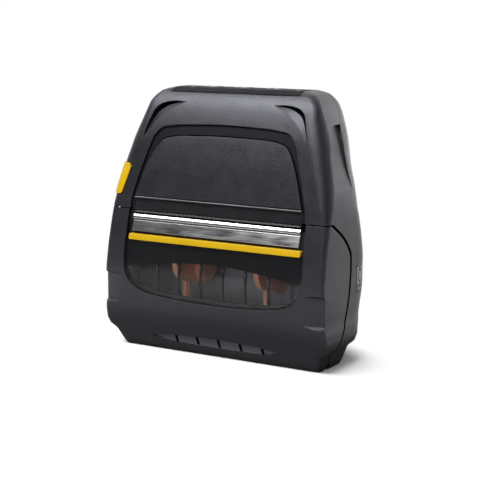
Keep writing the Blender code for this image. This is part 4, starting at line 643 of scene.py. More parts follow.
def mottled_material():
    """Grey metal strip with soft uneven streaks, darker at its left end."""
    mat, tree, shader = finish("mottled_metal", GREY_METAL, {"Roughness": 0.34, "Metallic": 1.0})
    streaks = noise(tree, 1500.0, 5.0, (0.02, 0.6, 1.0))
    clouds = noise(tree, 260.0, 4.0, (0.25, 1.0, 1.0))
    both = calculate(tree, "MULTIPLY", spread(tree, streaks, 0.62, 1.0),
                     spread(tree, clouds, 0.85, 1.1))
    slope = remap(tree, coordinate(tree, "Object", "X"), *MOTTLE_SLOPE)
    shade = calculate(tree, "MULTIPLY", both, slope)
    tint(tree, shader, shade, MOTTLE_DARK, MOTTLE_LIGHT)
    rough = spread(tree, noise(tree, 300.0, 4.0, (0.2, 1.0, 1.0)), 0.22, 0.46)
    feed(tree, shader, {"Roughness": rough})
    relief(tree, shader, streaks, 0.012, 0.2)
    return mat


shell_mat = plastic("shell_plastic", CHARCOAL, 0.33, 0.2, 0.66, 0.4)
black_mat = plastic("black_plastic", BLACK, 0.36, 0.014, 0.4, 0.3)
fascia_mat = plastic("fascia_plastic", CHARCOAL, 0.37, 0.2, 0.6, 0.3)
arch_black_and_shade_mat = plastic("arch_plastic_and_shade", ARCH_BLACK_AND_SHADE, 0.55, 0.05, 0.14, 0.5)
tab_light_mat = plastic("grip_tab_painted_light", TAB_LIT_GREY, 0.45, 0.08, 0.6, 0.3)
rib_mat = plastic("rib_plastic", BLACK, 0.5, 0.01, 0.2, 0.15)
joint_shade_mat = plastic("joint_shadow", JOINT_SHADE_BLACK, 0.9, 0.01, 0.05, 0.0)
battery_mat = plastic("battery_plastic", BATTERY_BLACK, 0.5, 0.05, 0.5, 0.25)
panel_mat = plastic("panel_plastic", BLACK, 0.6, 0.02, 0.12, 0.3)
trough_mat = plastic("trough_plastic", TROUGH_GREY, 0.5, 0.02, 0.4, 0.2)
yellow_mat = plastic("yellow_plastic", YELLOW, 0.36, 0.010, 0.4, 0.3, 0.05)
copper_mat = plastic("copper_plastic", COPPER, 0.36, 0.014, 0.5, 0.3, 0.15)
nylon_mat = plastic("white_nylon", NYLON, 0.45, 0.012, 0.5, 0.15, 0.05)
key_mat = plastic("key_plastic", KEY_GREY, 0.5, 0.02, 0.4, 0.4, 0.06)
rubber_mat = plastic("black_rubber", RUBBER, 0.75, 0.03, 0.3, 0.2, 0.2)
steel_mat = metal("bright_steel", STEEL, 0.26)
polished_mat = metal("polished_steel", POLISHED, 0.2, ALONG_X, 0.0, 0.04)
satin_mat = metal("satin_metal", GREY_METAL, 0.40)
dark_metal_mat = metal("dark_metal", DARK_METAL, 0.45)
brass_mat = metal("brass", BRASS, 0.32, EVEN)
board_mat = plastic("board_lacquer", BOARD, 0.4, 0.03, 0.5, 0.1, 0.3)
print_mat = plastic("light_print", PRINT, 0.5, 0.004, 0.3, 0.0, 0.06)
gloss_mat = clear_plastic(
    "gloss_black", GLOSS, 0.12, (scaled(GLOSS, 0.85), scaled(GLOSS, 1.15)),
    (30.0, 90.0, 3.0, 60.0), (0.09, 0.16), 0.05, 0.25, {"Specular IOR Level": 0.35})
smoke_mat = clear_plastic(
    "smoked_window", SMOKE, 0.08, (SMOKE_DARK, SMOKE_LIGHT),
    (40.0, 150.0, 4.0, 50.0), (0.05, 0.13), 0.04, 0.2, {"Alpha": 0.14, "Specular IOR Level": 0.8})
lens_mat = lens_material()
mottled_mat = mottled_material()


# Pieces


def place(obj, body, node, mat, inset=None):
    """Dress a piece, hide the node it stands for and let it ride on its body."""
    obj.data.materials.clear()
    obj.data.materials.append(mat)
    dress(obj, inset)
    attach(obj, body)
    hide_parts(node)
    obj.name = node + "_fine"


def print_on(obj, body, name):
    """Light print that rides on a body."""
    obj.data.materials.append(print_mat)
    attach(obj, body)
    obj.name = name


def paint(obj, mat, chosen):
    """Further finish on the faces that a test picks by face and centre."""
    obj.data.materials.append(mat)
    for poly in obj.data.polygons:
        if chosen(poly, poly.center / MM):
            poly.material_index = len(obj.data.materials) - 1


def node_box(name):
    """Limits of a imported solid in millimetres."""
    low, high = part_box(name)
    return Vector(low) / MM, Vector(high) / MM


def cover_profile(back, up):
    """Side profile of the cover, its edge moved back and up by the two gaps."""
    seam = curve(list(zip(SEAM_YS, SEAM_ZS)))
    points = [(-FAR, SEAM_TOP + up)] + [(y + back, z + up) for y, z in seam]
    radius = BARREL_RADIUS + up
    start, turn = BARREL_TURN
    points += corner(HINGE_Y, HINGE_Z, radius, math.radians(start), 24, math.radians(turn))
    if back > 0.0:
        points = [(y, z) for y, z in points if y < HINGE_Y or z > HINGE_Z]
        reach = HINGE_Y + radius + BARREL_PLAY
        points += [(reach, HINGE_Z), (reach, -OVER)]
    else:
        points.append((HINGE_Y - OVER, -OVER))
    points.append((-FAR, -OVER))
    return points


def paint_joint_shade(obj, profile):
    """Painted shade: deep black on the faces that follow a side profile, standing for the shadow
    in a joint.
    """
    runs = [(Vector(a), Vector(b)) for a, b in zip(profile, profile[1:])]
    low, high = JOINT_ZS

    def chosen(poly, spot):
        if abs(poly.normal.x) > 0.02 or not low < spot.z < high:
            return False
        for a, b in runs:
            near, share = intersect_point_line(spot.yz, a, b)
            if -0.01 < share < 1.01 and (near - spot.yz).length < 0.05:
                return True
        return False
    paint(obj, joint_shade_mat, chosen)


def split_profile(gap):
    """Side profile of everything behind the back cover split."""
    run = curve(list(zip(SPLIT_YS[:-1], SPLIT_ZS[:-1])))
    points = [(y + gap, z + gap) for y, z in run]
    points.append((SPLIT_YS[-1], SPLIT_ZS[-1] + gap))
    points.append((FAR, SPLIT_ZS[-1] + gap))
    points.append((FAR, SPLIT_ZS[0]))
    return points


COVER_GAPS = (-0.7, -0.4)
CAVITY_FLOOR = 13.0
RECESS_INNER = 62.6
RECESS_OUTER = 80.0
RECESS_ZS = (26.6, 47.6)
RECESS_DEPTH = 4.4
RECESS_SLOPE = 2.2
BACKING_Y = -27.6
BACKING_ZS = (22.0, 53.0)
LUG_INNER = 48.0
LUG_OUTER = 56.0
LUG_PLAY = 0.4
LUG_SLOT_TOP = 9.6
PIN_BORE = 1.55
PIN_ENDS = (44.55, 60.05)


def recess_cutter(side):
    """Wedge that forms the finger recess in one front corner."""
    face = -max(FRONTS)
    deep = face + RECESS_DEPTH
    verts = []
    for inner, near, far in ((0.0, face - OVER, face - OVER), (RECESS_SLOPE, face, deep)):
        for z in grown(RECESS_ZS, -inner):
            verts.append((side * RECESS_INNER, near, z))
            verts.append((side * RECESS_OUTER, far, z))
    faces = [(0, 1, 3, 2), (4, 6, 7, 5), (0, 4, 5, 1), (2, 3, 7, 6), (0, 2, 6, 4), (1, 5, 7, 3)]
    return make_object(verts, faces)


def build_cover():
    """Front cover shell."""
    shell = skin(0.0)
    keep(shell, side_prism(cover_profile(*COVER_GAPS)))
    cavity = skin(WALL)
    cut(cavity, block(ALL, ALL, (-OVER, CAVITY_FLOOR)))
    for side in SIDES.values():
        cut(cavity, block(span(side, RECESS_INNER, FAR), (-FAR, BACKING_Y), BACKING_ZS))
    cut(shell, cavity)
    cut(shell, prism("Y", arch(OPENING_XS, OPENING_ZS), -FAR, HINGE_Y))
    for side in SIDES.values():
        cut(shell, recess_cutter(side))
        xs = span(side, LUG_INNER - LUG_PLAY, LUG_OUTER + LUG_PLAY)
        cut(shell, block(xs, (HINGE_Y - BARREL_RADIUS, FAR), (-OVER, LUG_SLOT_TOP)))
        cut(shell, rod("X", (HINGE_Y, HINGE_Z), PIN_BORE, *span(side, *PIN_ENDS)))
    cut(shell, grip_cutter())
    place(shell, "media_cover", "cover_shell", shell_mat, 0.0)
    # Painted shade on the seam walls next to the housing.
    paint_joint_shade(shell, cover_profile(*COVER_GAPS))
    # Painted light: the raised tabs on the grip floor are painted lighter grey, as if lit from
    # above.
    paint(shell, tab_light_mat, on_grip_floor)


GRIP_HALF = 45.5
GRIP_ZS = (5.8, 12.4)
GRIP_DEPTHS = (0.35, 4.35)
SLOPE_ZS = (6.4, 12.0)
SLOT_ZS = (6.6, 11.5)
SLOT_COUNT = 5
SLOT_PITCH = 15.0
SLOT_MIDDLE = 0.1
SLOT_WIDTH = 1.8
SLOT_LEAN = 2.4
SLOT_FLOOR = 4.9


def ramp(value, limits):
    """Share of the way between two limits, from 0 to 1."""
    return min(max((value - limits[0]) / (limits[1] - limits[0]), 0.0), 1.0)


def grip_outline():
    """Crescent of the lower grip."""
    return curve(GRIP_TOP) + curve(GRIP_LOW)[1:-1]


def grip_inset(z):
    """The floor of the grip goes deeper towards its top, so it faces upwards."""
    return GRIP_DEPTHS[0] + (GRIP_DEPTHS[1] - GRIP_DEPTHS[0]) * ramp(z, SLOPE_ZS)


def grip_cutter():
    """Crescent recess with slanted slots for the lower grip."""
    near = front_prism(grip_outline())
    cut(near, loft(skin_rows(), grip_inset))
    low, high = SLOT_ZS
    for i in range(SLOT_COUNT):
        top = SLOT_MIDDLE + SLOT_PITCH * (i - SLOT_COUNT // 2)
        foot = top + SLOT_LEAN
        slot = [(top, high), (foot, low), (foot + SLOT_WIDTH, low), (top + SLOT_WIDTH, high)]
        groove = front_prism(slot)
        cut(groove, skin(SLOT_FLOOR))
        join(near, groove)
    return near


def on_grip_floor(poly, spot):
    """Whether a face is part of the raised tabs on the floor of the grip."""
    depth = spot.y - front_y(spot.z, 0.0)
    return (abs(spot.x) < GRIP_HALF and GRIP_ZS[0] < spot.z < GRIP_ZS[1]
            and poly.normal.y < -0.3 and 0.3 < depth < 4.7)


LUG_RADIUS = 3.7
LUG_BORE = 1.65
BRIDGE_YS = (HINGE_Y, -13.0)
BRIDGE_ZS = (1.4, 8.4)
SCOOP_INNER = 50.0
SCOOP_RISE = (100.0, 136.0)
PANEL_SPACE = ((-44.3, 44.3), (-FAR, 13.7), (155.3, FAR))
BUTTON_XS = (-62.2, -66.9, -68.0, -90.0, -90.0, -63.4)
BUTTON_ZS = (110.2, 95.2, 94.0, 94.0, 112.4, 112.4)
BUTTON_SPACE_BACK = -4.2
DOOR_YS = (6.0, 22.8)
DOOR_ZS = (42.0, 64.0)
DOOR_WALL = 1.0
REBATE_DEPTH = 1.6
SOCKET_INNER = 59.6
SOCKET_RIM = 1.8


def strap_runs():
    """Outer and inner edge of a strap opening, each from tip to tip."""
    points = list(zip(STRAP_XS, STRAP_ZS))
    return curve(points[:STRAP_TIP + 1]), curve(points[STRAP_TIP:] + points[:1])


def strap_outline(side):
    """Smooth outline of one strap opening with its two sharp tips."""
    outer, inner = strap_runs()
    return [(side * x, z) for x, z in outer + inner[1:-1]]


def scoop_outline():
    """Smooth outline of the side scoop."""
    points = list(zip(SCOOP_YS, SCOOP_ZS))
    return curve(points[:7]) + curve(points[7:] + points[:1])[:-1]


def scoop_inset(z):
    """The floor of the side scoop goes deeper with height."""
    return -0.25 + 2.2 * ramp(z, SCOOP_RISE) ** 0.8


def build_housing():
    """Main housing shell."""
    shell = skin(0.0)
    cut(shell, skin(WALL))
    cut(shell, side_prism(cover_profile(*HOUSING_GAPS)))
    cut(shell, side_prism(split_profile(0.0)))
    cut(shell, front_prism(arch(ARCH_XS, ARCH_ZS)))
    for side in SIDES.values():
        cut(shell, front_prism(strap_outline(side)))
        xs = span(side, LUG_INNER, LUG_OUTER)
        lug = rod("X", (HINGE_Y, HINGE_Z), LUG_RADIUS, *xs)
        join(lug, block(xs, BRIDGE_YS, BRIDGE_ZS))
        cut(lug, rod("X", (HINGE_Y, HINGE_Z), LUG_BORE, *ALL))
        join(shell, lug)
        scoop = prism("X", scoop_outline(), *span(side, SCOOP_INNER, FAR))
        cut(shell, cut(scoop, loft(skin_rows(), scoop_inset)))
    cut(shell, block(*PANEL_SPACE))
    face = shrink(list(zip(BUTTON_XS, BUTTON_ZS)), -FIT)
    cut(shell, prism("Y", face, -FAR, BUTTON_SPACE_BACK))
    rebate = block((0.0, FAR), grown(DOOR_YS, FIT), grown(DOOR_ZS, FIT))
    cut(shell, layer(rebate, -OVER, REBATE_DEPTH))
    opening = [grown(ends, -SOCKET_RIM) for ends in (DOOR_YS, DOOR_ZS)]
    cut(shell, block((SOCKET_INNER, FAR), *opening))
    place(shell, "printer_body", "main_housing", shell_mat, 0.0)
    paint_joint_shade(shell, cover_profile(*HOUSING_GAPS))


PACK_SPACE = ((-36.9, 36.9), (0.0, FAR), (99.1, 146.7))
CATCH_SPACE = ((-7.3, 7.3), (0.0, FAR), (146.4, 152.7))
SCREW_SPOTS = ((-44.0, 89.0), (44.0, 89.0), (-44.0, 133.0), (44.0, 133.0))
SCREW_HOLE = 2.6


def build_back():
    """Upper back shell."""
    shell = skin(0.0)
    cut(shell, skin(WALL))
    keep(shell, side_prism(split_profile(FIT)))
    cut(shell, block(*PACK_SPACE))
    cut(shell, block(*CATCH_SPACE))
    cut(shell, block(*PANEL_SPACE))
    for spot in SCREW_SPOTS:
        cut(shell, rod("Y", spot, SCREW_HOLE, 0.0, FAR))
    place(shell, "printer_body", "back_cover", shell_mat, 0.0)


def build_door():
    """Port door on the right side."""
    door = layer(block((0.0, FAR), DOOR_YS, DOOR_ZS), 0.0, DOOR_WALL)
    place(door, "side_door", "port_door", shell_mat, 0.0)


MARK_DEPTHS = (-0.05, 0.03)
MARK_OUTER = (7.8, 14.6, 46.6, 56.8, 1.2)
MARK_INNER = (8.6, 13.8, 47.4, 56.0, 0.6)
MARK_BAR = (10.6, 11.8, 49.0, 54.4, 0.3)
DOT_YS = (9.4, 11.2, 13.0)
DOT_HALF = 0.45
DOT_ZS = (43.5, 44.4)


def side_point(y, z, proud):
    """Point on the right side of the skin."""
    half, front, back, front_r, back_r = level(z)
    rise = y - (back - back_r)
    if rise <= 0.0:
        return (half + proud, y, z)
    return (half - back_r + math.sqrt(back_r * back_r - rise * rise) + proud, y, z)


def side_mark(outline, hole=()):
    """Thin printed mark on the right side, filled or as a band round a hole."""
    low, high = [[[side_point(y, z, proud) for y, z in loop] for loop in (outline, hole)]
                 for proud in MARK_DEPTHS]
    if not hole:
        return stack([low[0], high[0]])
    return stack(low + high[::-1], True)


def build_marks():
    """Plain outline of a port with three dots below it, printed on the port door."""
    frame_mark = side_mark(rounded(*MARK_OUTER), rounded(*MARK_INNER))
    marks = [frame_mark, side_mark(rounded(*MARK_BAR))]
    marks += [side_mark(rounded(*grown((y, y), DOT_HALF), *DOT_ZS, 0.4)) for y in DOT_YS]
    for index, mark in enumerate(marks):
        print_on(mark, "side_door", "port_mark_" + str(index + 1))


FASCIA_LOW = 93.4
FASCIA_BEND = 104.0
FASCIA_LEAN = 1.2
FASCIA_BACK = 2.2
RIM_INSETS = (1.3, 3.5)
LIP_HALF = 57.6
LIP_ZS = (85.0, 92.0)
LIP_INSETS = (1.4, 3.8)
TRIM_ZS = (92.3, 93.1)


def fascia_inset(z):
    """The plate leans back a little more towards its top edge."""
    return FASCIA_LEAN * max((z - FASCIA_BEND) / (FASCIA_ZS[-1] - FASCIA_BEND), 0.0) ** 2


def build_fascia():
    """Arch frame, fascia plate, trim line and exit lip."""
    rim = patch(shrink(arch(ARCH_XS, ARCH_ZS), FIT), *RIM_INSETS)
    outline = arch(FASCIA_XS, FASCIA_ZS)
    cut(rim, front_prism(shrink(outline, -FIT)))
    cut(rim, front_prism(rect(LIP_HALF + FIT, 0.0, FASCIA_LOW)))
    cut(rim, block(ALL, ALL, (0.0, SEAM_TOP + SEAM_GAP)))
    # The arch band is black plastic, made darker still as painted shade.
    place(rim, "printer_body", "arch_frame", arch_black_and_shade_mat, RIM_INSETS[0])
    plate = loft(skin_rows(), fascia_inset)
    keep(plate, front_prism(shrink(outline, FIT)))
    cut(plate, skin(FASCIA_BACK))
    place(plate, "printer_body", "fascia_plate", fascia_mat)
    trim = bar(TRIM_ZS, -0.15, FASCIA_BACK, 0.3)
    place(trim, "printer_body", "fascia_trim", dark_metal_mat)
    lip = patch(rect(LIP_HALF, *LIP_ZS), *LIP_INSETS)
    place(lip, "printer_body", "exit_lip", black_mat, LIP_INSETS[0])


ANCHOR_XS = (28.0, 44.0, 51.6, 54.6, 57.0, 57.4, 50.0, 44.0, 36.0)
ANCHOR_ZS = (150.6, 150.6, 147.0, 141.0, 131.0, 126.4, 131.0, 137.0, 143.0)
ANCHOR_INSETS = (2.7, 7.6)
SLOPE_SHARE = 0.58
SLOPE_DEPTHS = (0.12, 0.2, 2.0)
SLOPE_WIDTH = 7.0
SLOPE_BACK = 7.2
SLOPE_POINTS = 30


def along(points, count):
    """Evenly spaced points on a run."""
    lengths = [0.0]
    for a, b in zip(points, points[1:]):
        lengths.append(lengths[-1] + (Vector(b) - Vector(a)).length)
    out = []
    i = 0
    for k in range(count):
        goal = lengths[-1] * k / (count - 1)
        while i < len(points) - 2 and lengths[i + 1] < goal:
            i += 1
        share = (goal - lengths[i]) / (lengths[i + 1] - lengths[i])
        out.append(tuple(Vector(points[i]).lerp(Vector(points[i + 1]), share)))
    return out


def build_anchor(side, label):
    """Strap anchor: sloped ramp down to a dark slit at the outer edge."""
    outer, inner = [along(run, SLOPE_POINTS) for run in strap_runs()]
    inner.reverse()
    ridge = [tuple(Vector(a).lerp(Vector(b), SLOPE_SHARE)) for a, b in zip(inner, outer)]
    outline = [(side * x, z) for x, z in zip(ANCHOR_XS, ANCHOR_ZS)]
    anchor = patch(outline, *ANCHOR_INSETS)
    slit = ridge[1:-1] + outer[::-1]
    cut(anchor, front_prism([(side * x, z) for x, z in slit]))
    edge, low, high = SLOPE_DEPTHS
    loops = []
    for start, end, rim in list(zip(inner, ridge, outer))[1:-1]:
        width = (Vector(rim) - Vector(start)).length
        deep = low + (high - low) * min(width / SLOPE_WIDTH, 1.0) ** 0.6
        corners = ((start, edge), (end, deep), (end, SLOPE_BACK), (start, SLOPE_BACK))
        loops.append([(side * x, front_y(z, depth), z) for (x, z), depth in corners])
    join(anchor, stack(loops))
    place(anchor, "printer_body", "strap_anchor_" + label, shell_mat)


WINDOW_TOP = 66.9
WINDOW_INSETS = (0.35, 2.2)
MASK_INSETS = (2.25, 2.65)
SHEET_INSETS = (2.75, 4.2)
VIEW_XS = (56.6, 56.9, 55.4, 52.4, 47.6, 37.6, 20.0, 0.0)
VIEW_ZS = (50.6, 46.6, 42.2, 40.0, 38.6, 37.2, 36.2, 35.8)
VIEW_HALF = 56.5
VIEW_CROWN = 56.8
VIEW_DROP = 6.2
RIB_COUNT = 8
RIB_PITCH = 2 * VIEW_HALF * 0.951 / (RIB_COUNT - 1)
RIB_HALF = 0.55
SHEET = (60.9, 27.0, 80.6)
PIN_RADIUS = 0.75
PIN_BELOW = 2.4
PIN_INSETS = (2.5, 3.6)


def view_top(x):
    """Height of the arched upper edge of the clear area."""
    return VIEW_CROWN - VIEW_DROP * (x / VIEW_HALF) ** 2


def view_bottom(x):
    """Height of the rounded lower edge of the clear area."""
    here = abs(x)
    for i in range(len(VIEW_XS) - 1, 0, -1):
        if VIEW_XS[i] <= here <= VIEW_XS[i - 1]:
            share = (here - VIEW_XS[i]) / (VIEW_XS[i - 1] - VIEW_XS[i])
            return VIEW_ZS[i] + (VIEW_ZS[i - 1] - VIEW_ZS[i]) * share
    return VIEW_ZS[2]


def view_outline():
    """Outline of the clear area of the window."""
    steps = 32
    spots = [-VIEW_HALF + 2 * VIEW_HALF * i / steps for i in range(1, steps)]
    return arch(VIEW_XS, VIEW_ZS) + [(x, view_top(x)) for x in spots]


def below_window_top(piece):
    """Leave the part of a piece that lies below the window's upper edge."""
    keep(piece, block(ALL, ALL, (0.0, WINDOW_TOP)))


def build_window():
    """Smoked window and its black mask."""
    outline = shrink(arch(OPENING_XS, OPENING_ZS), WINDOW_INSETS[0])
    window = patch(outline, *WINDOW_INSETS)
    below_window_top(window)
    mask = patch(shrink(outline, WINDOW_INSETS[0]), *MASK_INSETS)
    below_window_top(mask)
    cut(mask, front_prism(view_outline()))
    place(window, "media_cover", "cover_window", smoke_mat, WINDOW_INSETS[0])
    place(mask, "media_cover", "window_mask", gloss_mat, MASK_INSETS[0])


def rib_x(i):
    """Place of one rib across the window."""
    return RIB_PITCH * (i - (RIB_COUNT - 1) / 2)


def build_ribs():
    """Frame behind the window: sheet with arched windows, ribs and rib pins; the pins' front ends
    are painted light grey as painted highlights at the rib tops.
    """
    sheet = patch(rect(*SHEET), *SHEET_INSETS)
    for i in range(RIB_COUNT - 1):
        left, right = rib_x(i) + RIB_HALF, rib_x(i + 1) - RIB_HALF
        spots = [left + (right - left) * i / 8 for i in range(9)]
        points = [(x, view_bottom(x)) for x in spots] + [(x, view_top(x)) for x in reversed(spots)]
        cut(sheet, front_prism(points))
    for x in [rib_x(i) for i in range(1, RIB_COUNT - 1)]:
        z = view_top(x) - PIN_BELOW
        ys = [front_y(z, inset) for inset in PIN_INSETS]
        join(sheet, rod("Y", (x, z), PIN_RADIUS, *ys, 16))
    place(sheet, "media_cover", "window_frame", rib_mat, SHEET_INSETS[0])
    # Painted highlight: the front ends of the rib pins are painted light grey to stand for glints
    # at the tops of the ribs.
    paint(sheet, key_mat, lambda poly, spot: spot.y < front_y(spot.z, SHEET_INSETS[0] - 0.02))


BAR_HALF = 57.4


def bar(zs, front, back, edge, lean=0.0, crown=0.0):
    """Strip across the front with rounded long edges and a leaning, crowned face."""
    low, high = zs

    def face(z, sunk):
        share = (z - low) / (high - low)
        return (front_y(z, front + sunk + lean * share - 4 * crown * share * (1 - share)), z)
    turns = [math.pi / 2 * i / 6 for i in range(7)]
    lower = [face(low + edge * (1 - math.cos(t)), edge * (1 - math.sin(t))) for t in turns]
    lower += [face(low + edge + (high - low - 2 * edge) * i / 8, 0.0) for i in range(1, 8)]
    upper = [face(high - edge * (1 - math.cos(t)), edge * (1 - math.sin(t)))
             for t in reversed(turns)]
    ends = [(front_y(high, back), high), (front_y(low, back), low)]
    return prism("X", lower + upper + ends, -BAR_HALF, BAR_HALF)


STRIPE = (-59.2, 59.2, 67.2, 70.8, 0.9)
GUIDE_ZS = (72.4, 79.1)
TEAR_ZS = (79.9, 82.4)
STRIP_BACK = 3.9
BUTTON_BACK = -6.0
BUTTON_PROUD = -0.8
BUTTON_WALL = 2.0
ROD_SPACE = ((-level(100.0)[0] + 1.0, -65.0), (-10.6, -7.6), (97.0, 100.0))


def build_strips():
    """Accent stripe, guide strip and bright tear strip."""
    stripe = cushion(rounded(*STRIPE), STRIP_BACK, 0.05, 0.3,
                     lambda x, z, depth: (x, front_y(z, depth), z))
    place(stripe, "media_cover", "accent_stripe", yellow_mat)
    guide = bar(GUIDE_ZS, 0.35, STRIP_BACK, 0.5, 0.9)
    place(guide, "media_cover", "guide_strip", mottled_mat)
    tear = bar(TEAR_ZS, 0.45, STRIP_BACK, 0.12, 0.7, 0.36)
    place(tear, "media_cover", "tear_strip", polished_mat)


def build_button():
    """Yellow release button with its push rod."""
    face = prism("Y", list(zip(BUTTON_XS, BUTTON_ZS)), -FAR, BUTTON_BACK)
    button = layer(face, BUTTON_PROUD, BUTTON_WALL)
    join(button, block(*ROD_SPACE))
    place(button, "release", "release_button", yellow_mat, BUTTON_PROUD)


BAY = (-0.2, 49.0)
BAY_RADIUS = 26.0
BAY_WALL = 1.2
BAY_TURN = (-108.0, 206.0)
BAY_STEPS = 60
TROUGH_HALF = 60.2
END_PLATE = (59.6, 60.8)
PLATE_YS = (-20.4, -20.4, -15.0, -8.0, 0.0, 10.8, 19.8, 25.4, 26.5, 25.4, 19.8, 10.8, 0.0,
            -9.0, -17.0, -20.4)
PLATE_ZS = (38.0, 30.0, 22.6, 21.8, 21.9, 24.4, 30.8, 41.6, 49.0, 56.4, 67.2, 73.6, 76.1,
            74.2, 66.0, 60.0)


def build_trough():
    """Curved media trough with its two end plates."""
    start, turn = [math.radians(angle) for angle in BAY_TURN]
    inner, outer = [corner(*BAY, radius, start, BAY_STEPS, turn)
                    for radius in (BAY_RADIUS, BAY_RADIUS + BAY_WALL)]
    trough = prism("X", outer + inner[::-1], -TROUGH_HALF, TROUGH_HALF)
    plate = list(zip(PLATE_YS, PLATE_ZS))
    outline = plate[:1] + curve(plate[1:-1]) + plate[-1:]
    for side in SIDES.values():
        join(trough, prism("X", outline, *span(side, *END_PLATE)))
    place(trough, "printer_body", "media_trough", trough_mat)


LOBE = (-16.0, 55.0)
LOBE_RADIUS = 13.0
RIM_RADIUS = 11.9
GUIDE_XS = (27.0, 29.4)
GUIDE_RAISE = 0.45
TAIL_RADIUS = 12.0
HUB_RADIUS = 9.0
HUB_XS = (28.2, 22.0)
STEM = ((-18.2, -13.4), (28.0, 55.0))
FOOT_XS = (29.4, 18.0)
FOOT = ((-19.6, -12.0), (23.2, 29.8))
RAIL_SPACE = ((-18.1, -13.5), (24.7, 28.3))
STEM_RIB = ((-16.4, -15.2), (28.0, 42.6))


def build_guide(side, label):
    """Media guide: rimmed round plate, hub, stem and foot."""
    xs = span(side, *GUIDE_XS)
    raised = grown(xs, GUIDE_RAISE)
    guide = prism("X", circle(LOBE, LOBE_RADIUS, 72), *xs)
    join(guide, prism("X", circle(BAY, TAIL_RADIUS, 72), *xs))
    join(guide, rod("X", BAY, HUB_RADIUS, *span(side, *HUB_XS), 48))
    join(guide, block(xs, *STEM))
    join(guide, block(span(side, *FOOT_XS), *FOOT))
    cut(guide, block(ALL, *RAIL_SPACE))
    rim = tube("X", LOBE, LOBE_RADIUS, RIM_RADIUS, *raised)
    cut(rim, rod("X", BAY, RIM_RADIUS, *ALL, 48))
    join(guide, rim)
    join(guide, block(raised, *STEM_RIB))
    place(guide, "guide_" + label, "media_guide_" + label, copper_mat)


PLATEN = (-18.5, 76.8)
ROLLER_HALF = 54.0
ROLLER_BORE = 2.06
ROLLER_END = ((0.0, 4.9), (0.1, 5.1), (0.4, 5.2))


def build_roller():
    """Rubber platen roller with softened ends."""
    right = [(ROLLER_HALF - inward, radius) for inward, radius in ROLLER_END]
    right.insert(0, (ROLLER_HALF, ROLLER_BORE))
    profile = [(-x, radius) for x, radius in right] + right[::-1]
    place(lathe(profile, PLATEN), "platen", "platen_roller", rubber_mat)


def build_springs():
    """Head springs and the return spring of the latch."""
    for node, axis in (("head_spring_left", 2), ("head_spring_right", 2), ("latch_spring", 0)):
        low, high = node_box(node)
        start = (low + high) / 2
        start[axis] = low[axis]
        spring = coil(start, "XYZ"[axis], high[axis] - low[axis])
        place(spring, "printer_body", node, steel_mat)


KEYS = (("power_key", "power_button", -22.0), ("feed_key", "feed_button", 0.0),
        ("radio_key", "radio_button", 22.0))
KEY_TOP = 158.6
SIGN_ZS = (158.58, 158.64)


def glyph(index, x, y):
    """Plain printed sign of one key: ring with bar, arrow, or dot."""
    if index == 0:
        sign = tube("Z", (x, y - 0.2), 1.7, 1.25, *SIGN_ZS)
        cut(sign, block((x - 0.6, x + 0.6), (y, y + OVER), grown(SIGN_ZS, 1.0)))
        return join(sign, block((x - 0.24, x + 0.24), (y - 0.3, y + 2.0), SIGN_ZS))
    if index == 1:
        arrow = [(x - 1.7, y - 0.8), (x + 1.7, y - 0.8), (x, y + 1.6)]
        return prism("Z", arrow, *SIGN_ZS)
    return rod("Z", (x, y), 1.0, *SIGN_ZS, 40)


def build_keys():
    """Three soft keys with plain printed signs."""
    for index, (node, body, x) in enumerate(KEYS):
        low, high = node_box(node)
        outline = rounded(low.x, high.x, low.y, high.y, 2.2, 8)
        key = cushion(outline, low.z, KEY_TOP, 0.5, lambda x, y, z: (x, y, z))
        place(key, body, node, key_mat)
        print_on(glyph(index, x, (low.y + high.y) / 2), body, node + "_sign")


PLATE = (-29.0, 29.0, 107.0, 131.0, 2.0)
PLATE_DEPTH = 0.35
NOTCH_HALF = 9.3
NOTCH_TOP = 103.7
GROOVE_HALF = 17.0
GROOVE_DEPTH = 0.6


def build_battery():
    """Battery pack with a sunk bare plate, a notch and finger grooves."""
    low, high = node_box("battery_pack")
    case = block(*zip(low, high))
    cut(case, block((-NOTCH_HALF, NOTCH_HALF), (0.0, low.y + 8.0), (0.0, NOTCH_TOP)))
    soften(case, 0.8)
    cut(case, prism("Y", rounded(*PLATE, 8), high.y - PLATE_DEPTH, FAR))
    for i in range(6):
        z = 135.6 + 1.5 * i
        cut(case, block((-GROOVE_HALF, GROOVE_HALF), (high.y - GROOVE_DEPTH, FAR),
                        (z, z + 0.7)))
    place(case, "battery", "battery_pack", battery_mat)


def build_catch():
    """Ribbed catch of the battery."""
    low, high = node_box("battery_catch")
    catch = soften(block(*zip(low, high)), 0.4)
    for i in range(5):
        x = -4.4 + 2.0 * i
        cut(catch, block((x, x + 0.8), (high.y - 0.5, FAR), grown((low.z, high.z), 1.0)))
    place(catch, "catch", "battery_catch", key_mat)


HEAD_RADIUS = 2.3
HEAD_HEIGHT = 1.8
SHANK_RADIUS = 1.2
SOCKET_RADIUS = 1.1


def build_screws():
    """Softened screws with six-sided sockets."""
    for index, spot in enumerate(SCREW_SPOTS):
        node = "back_screw_" + str(index + 1)
        low, high = node_box(node)
        screw = rod("Y", spot, HEAD_RADIUS, high.y - HEAD_HEIGHT, high.y, 40)
        soften(screw, 0.35)
        join(screw, rod("Y", spot, SHANK_RADIUS, low.y, high.y - 0.9, 24))
        cut(screw, rod("Y", spot, SOCKET_RADIUS, high.y - 1.0, high.y + OVER, 6))
        place(screw, "printer_body", node, steel_mat)


def repaint(finishes):
    """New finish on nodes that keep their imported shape."""
    for mat, names in finishes:
        for name in names:
            for holder in NODES[name].material_slots:
                holder.material = mat


build_cover()
build_housing()
build_back()
build_trough()
for label, side in SIDES.items():
    build_guide(side, label)
build_roller()
build_springs()
build_keys()
build_battery()
build_catch()
build_screws()
build_door()
build_marks()
build_fascia()
build_window()
build_strips()
build_button()
build_ribs()
for label, side in SIDES.items():
    build_anchor(side, label)

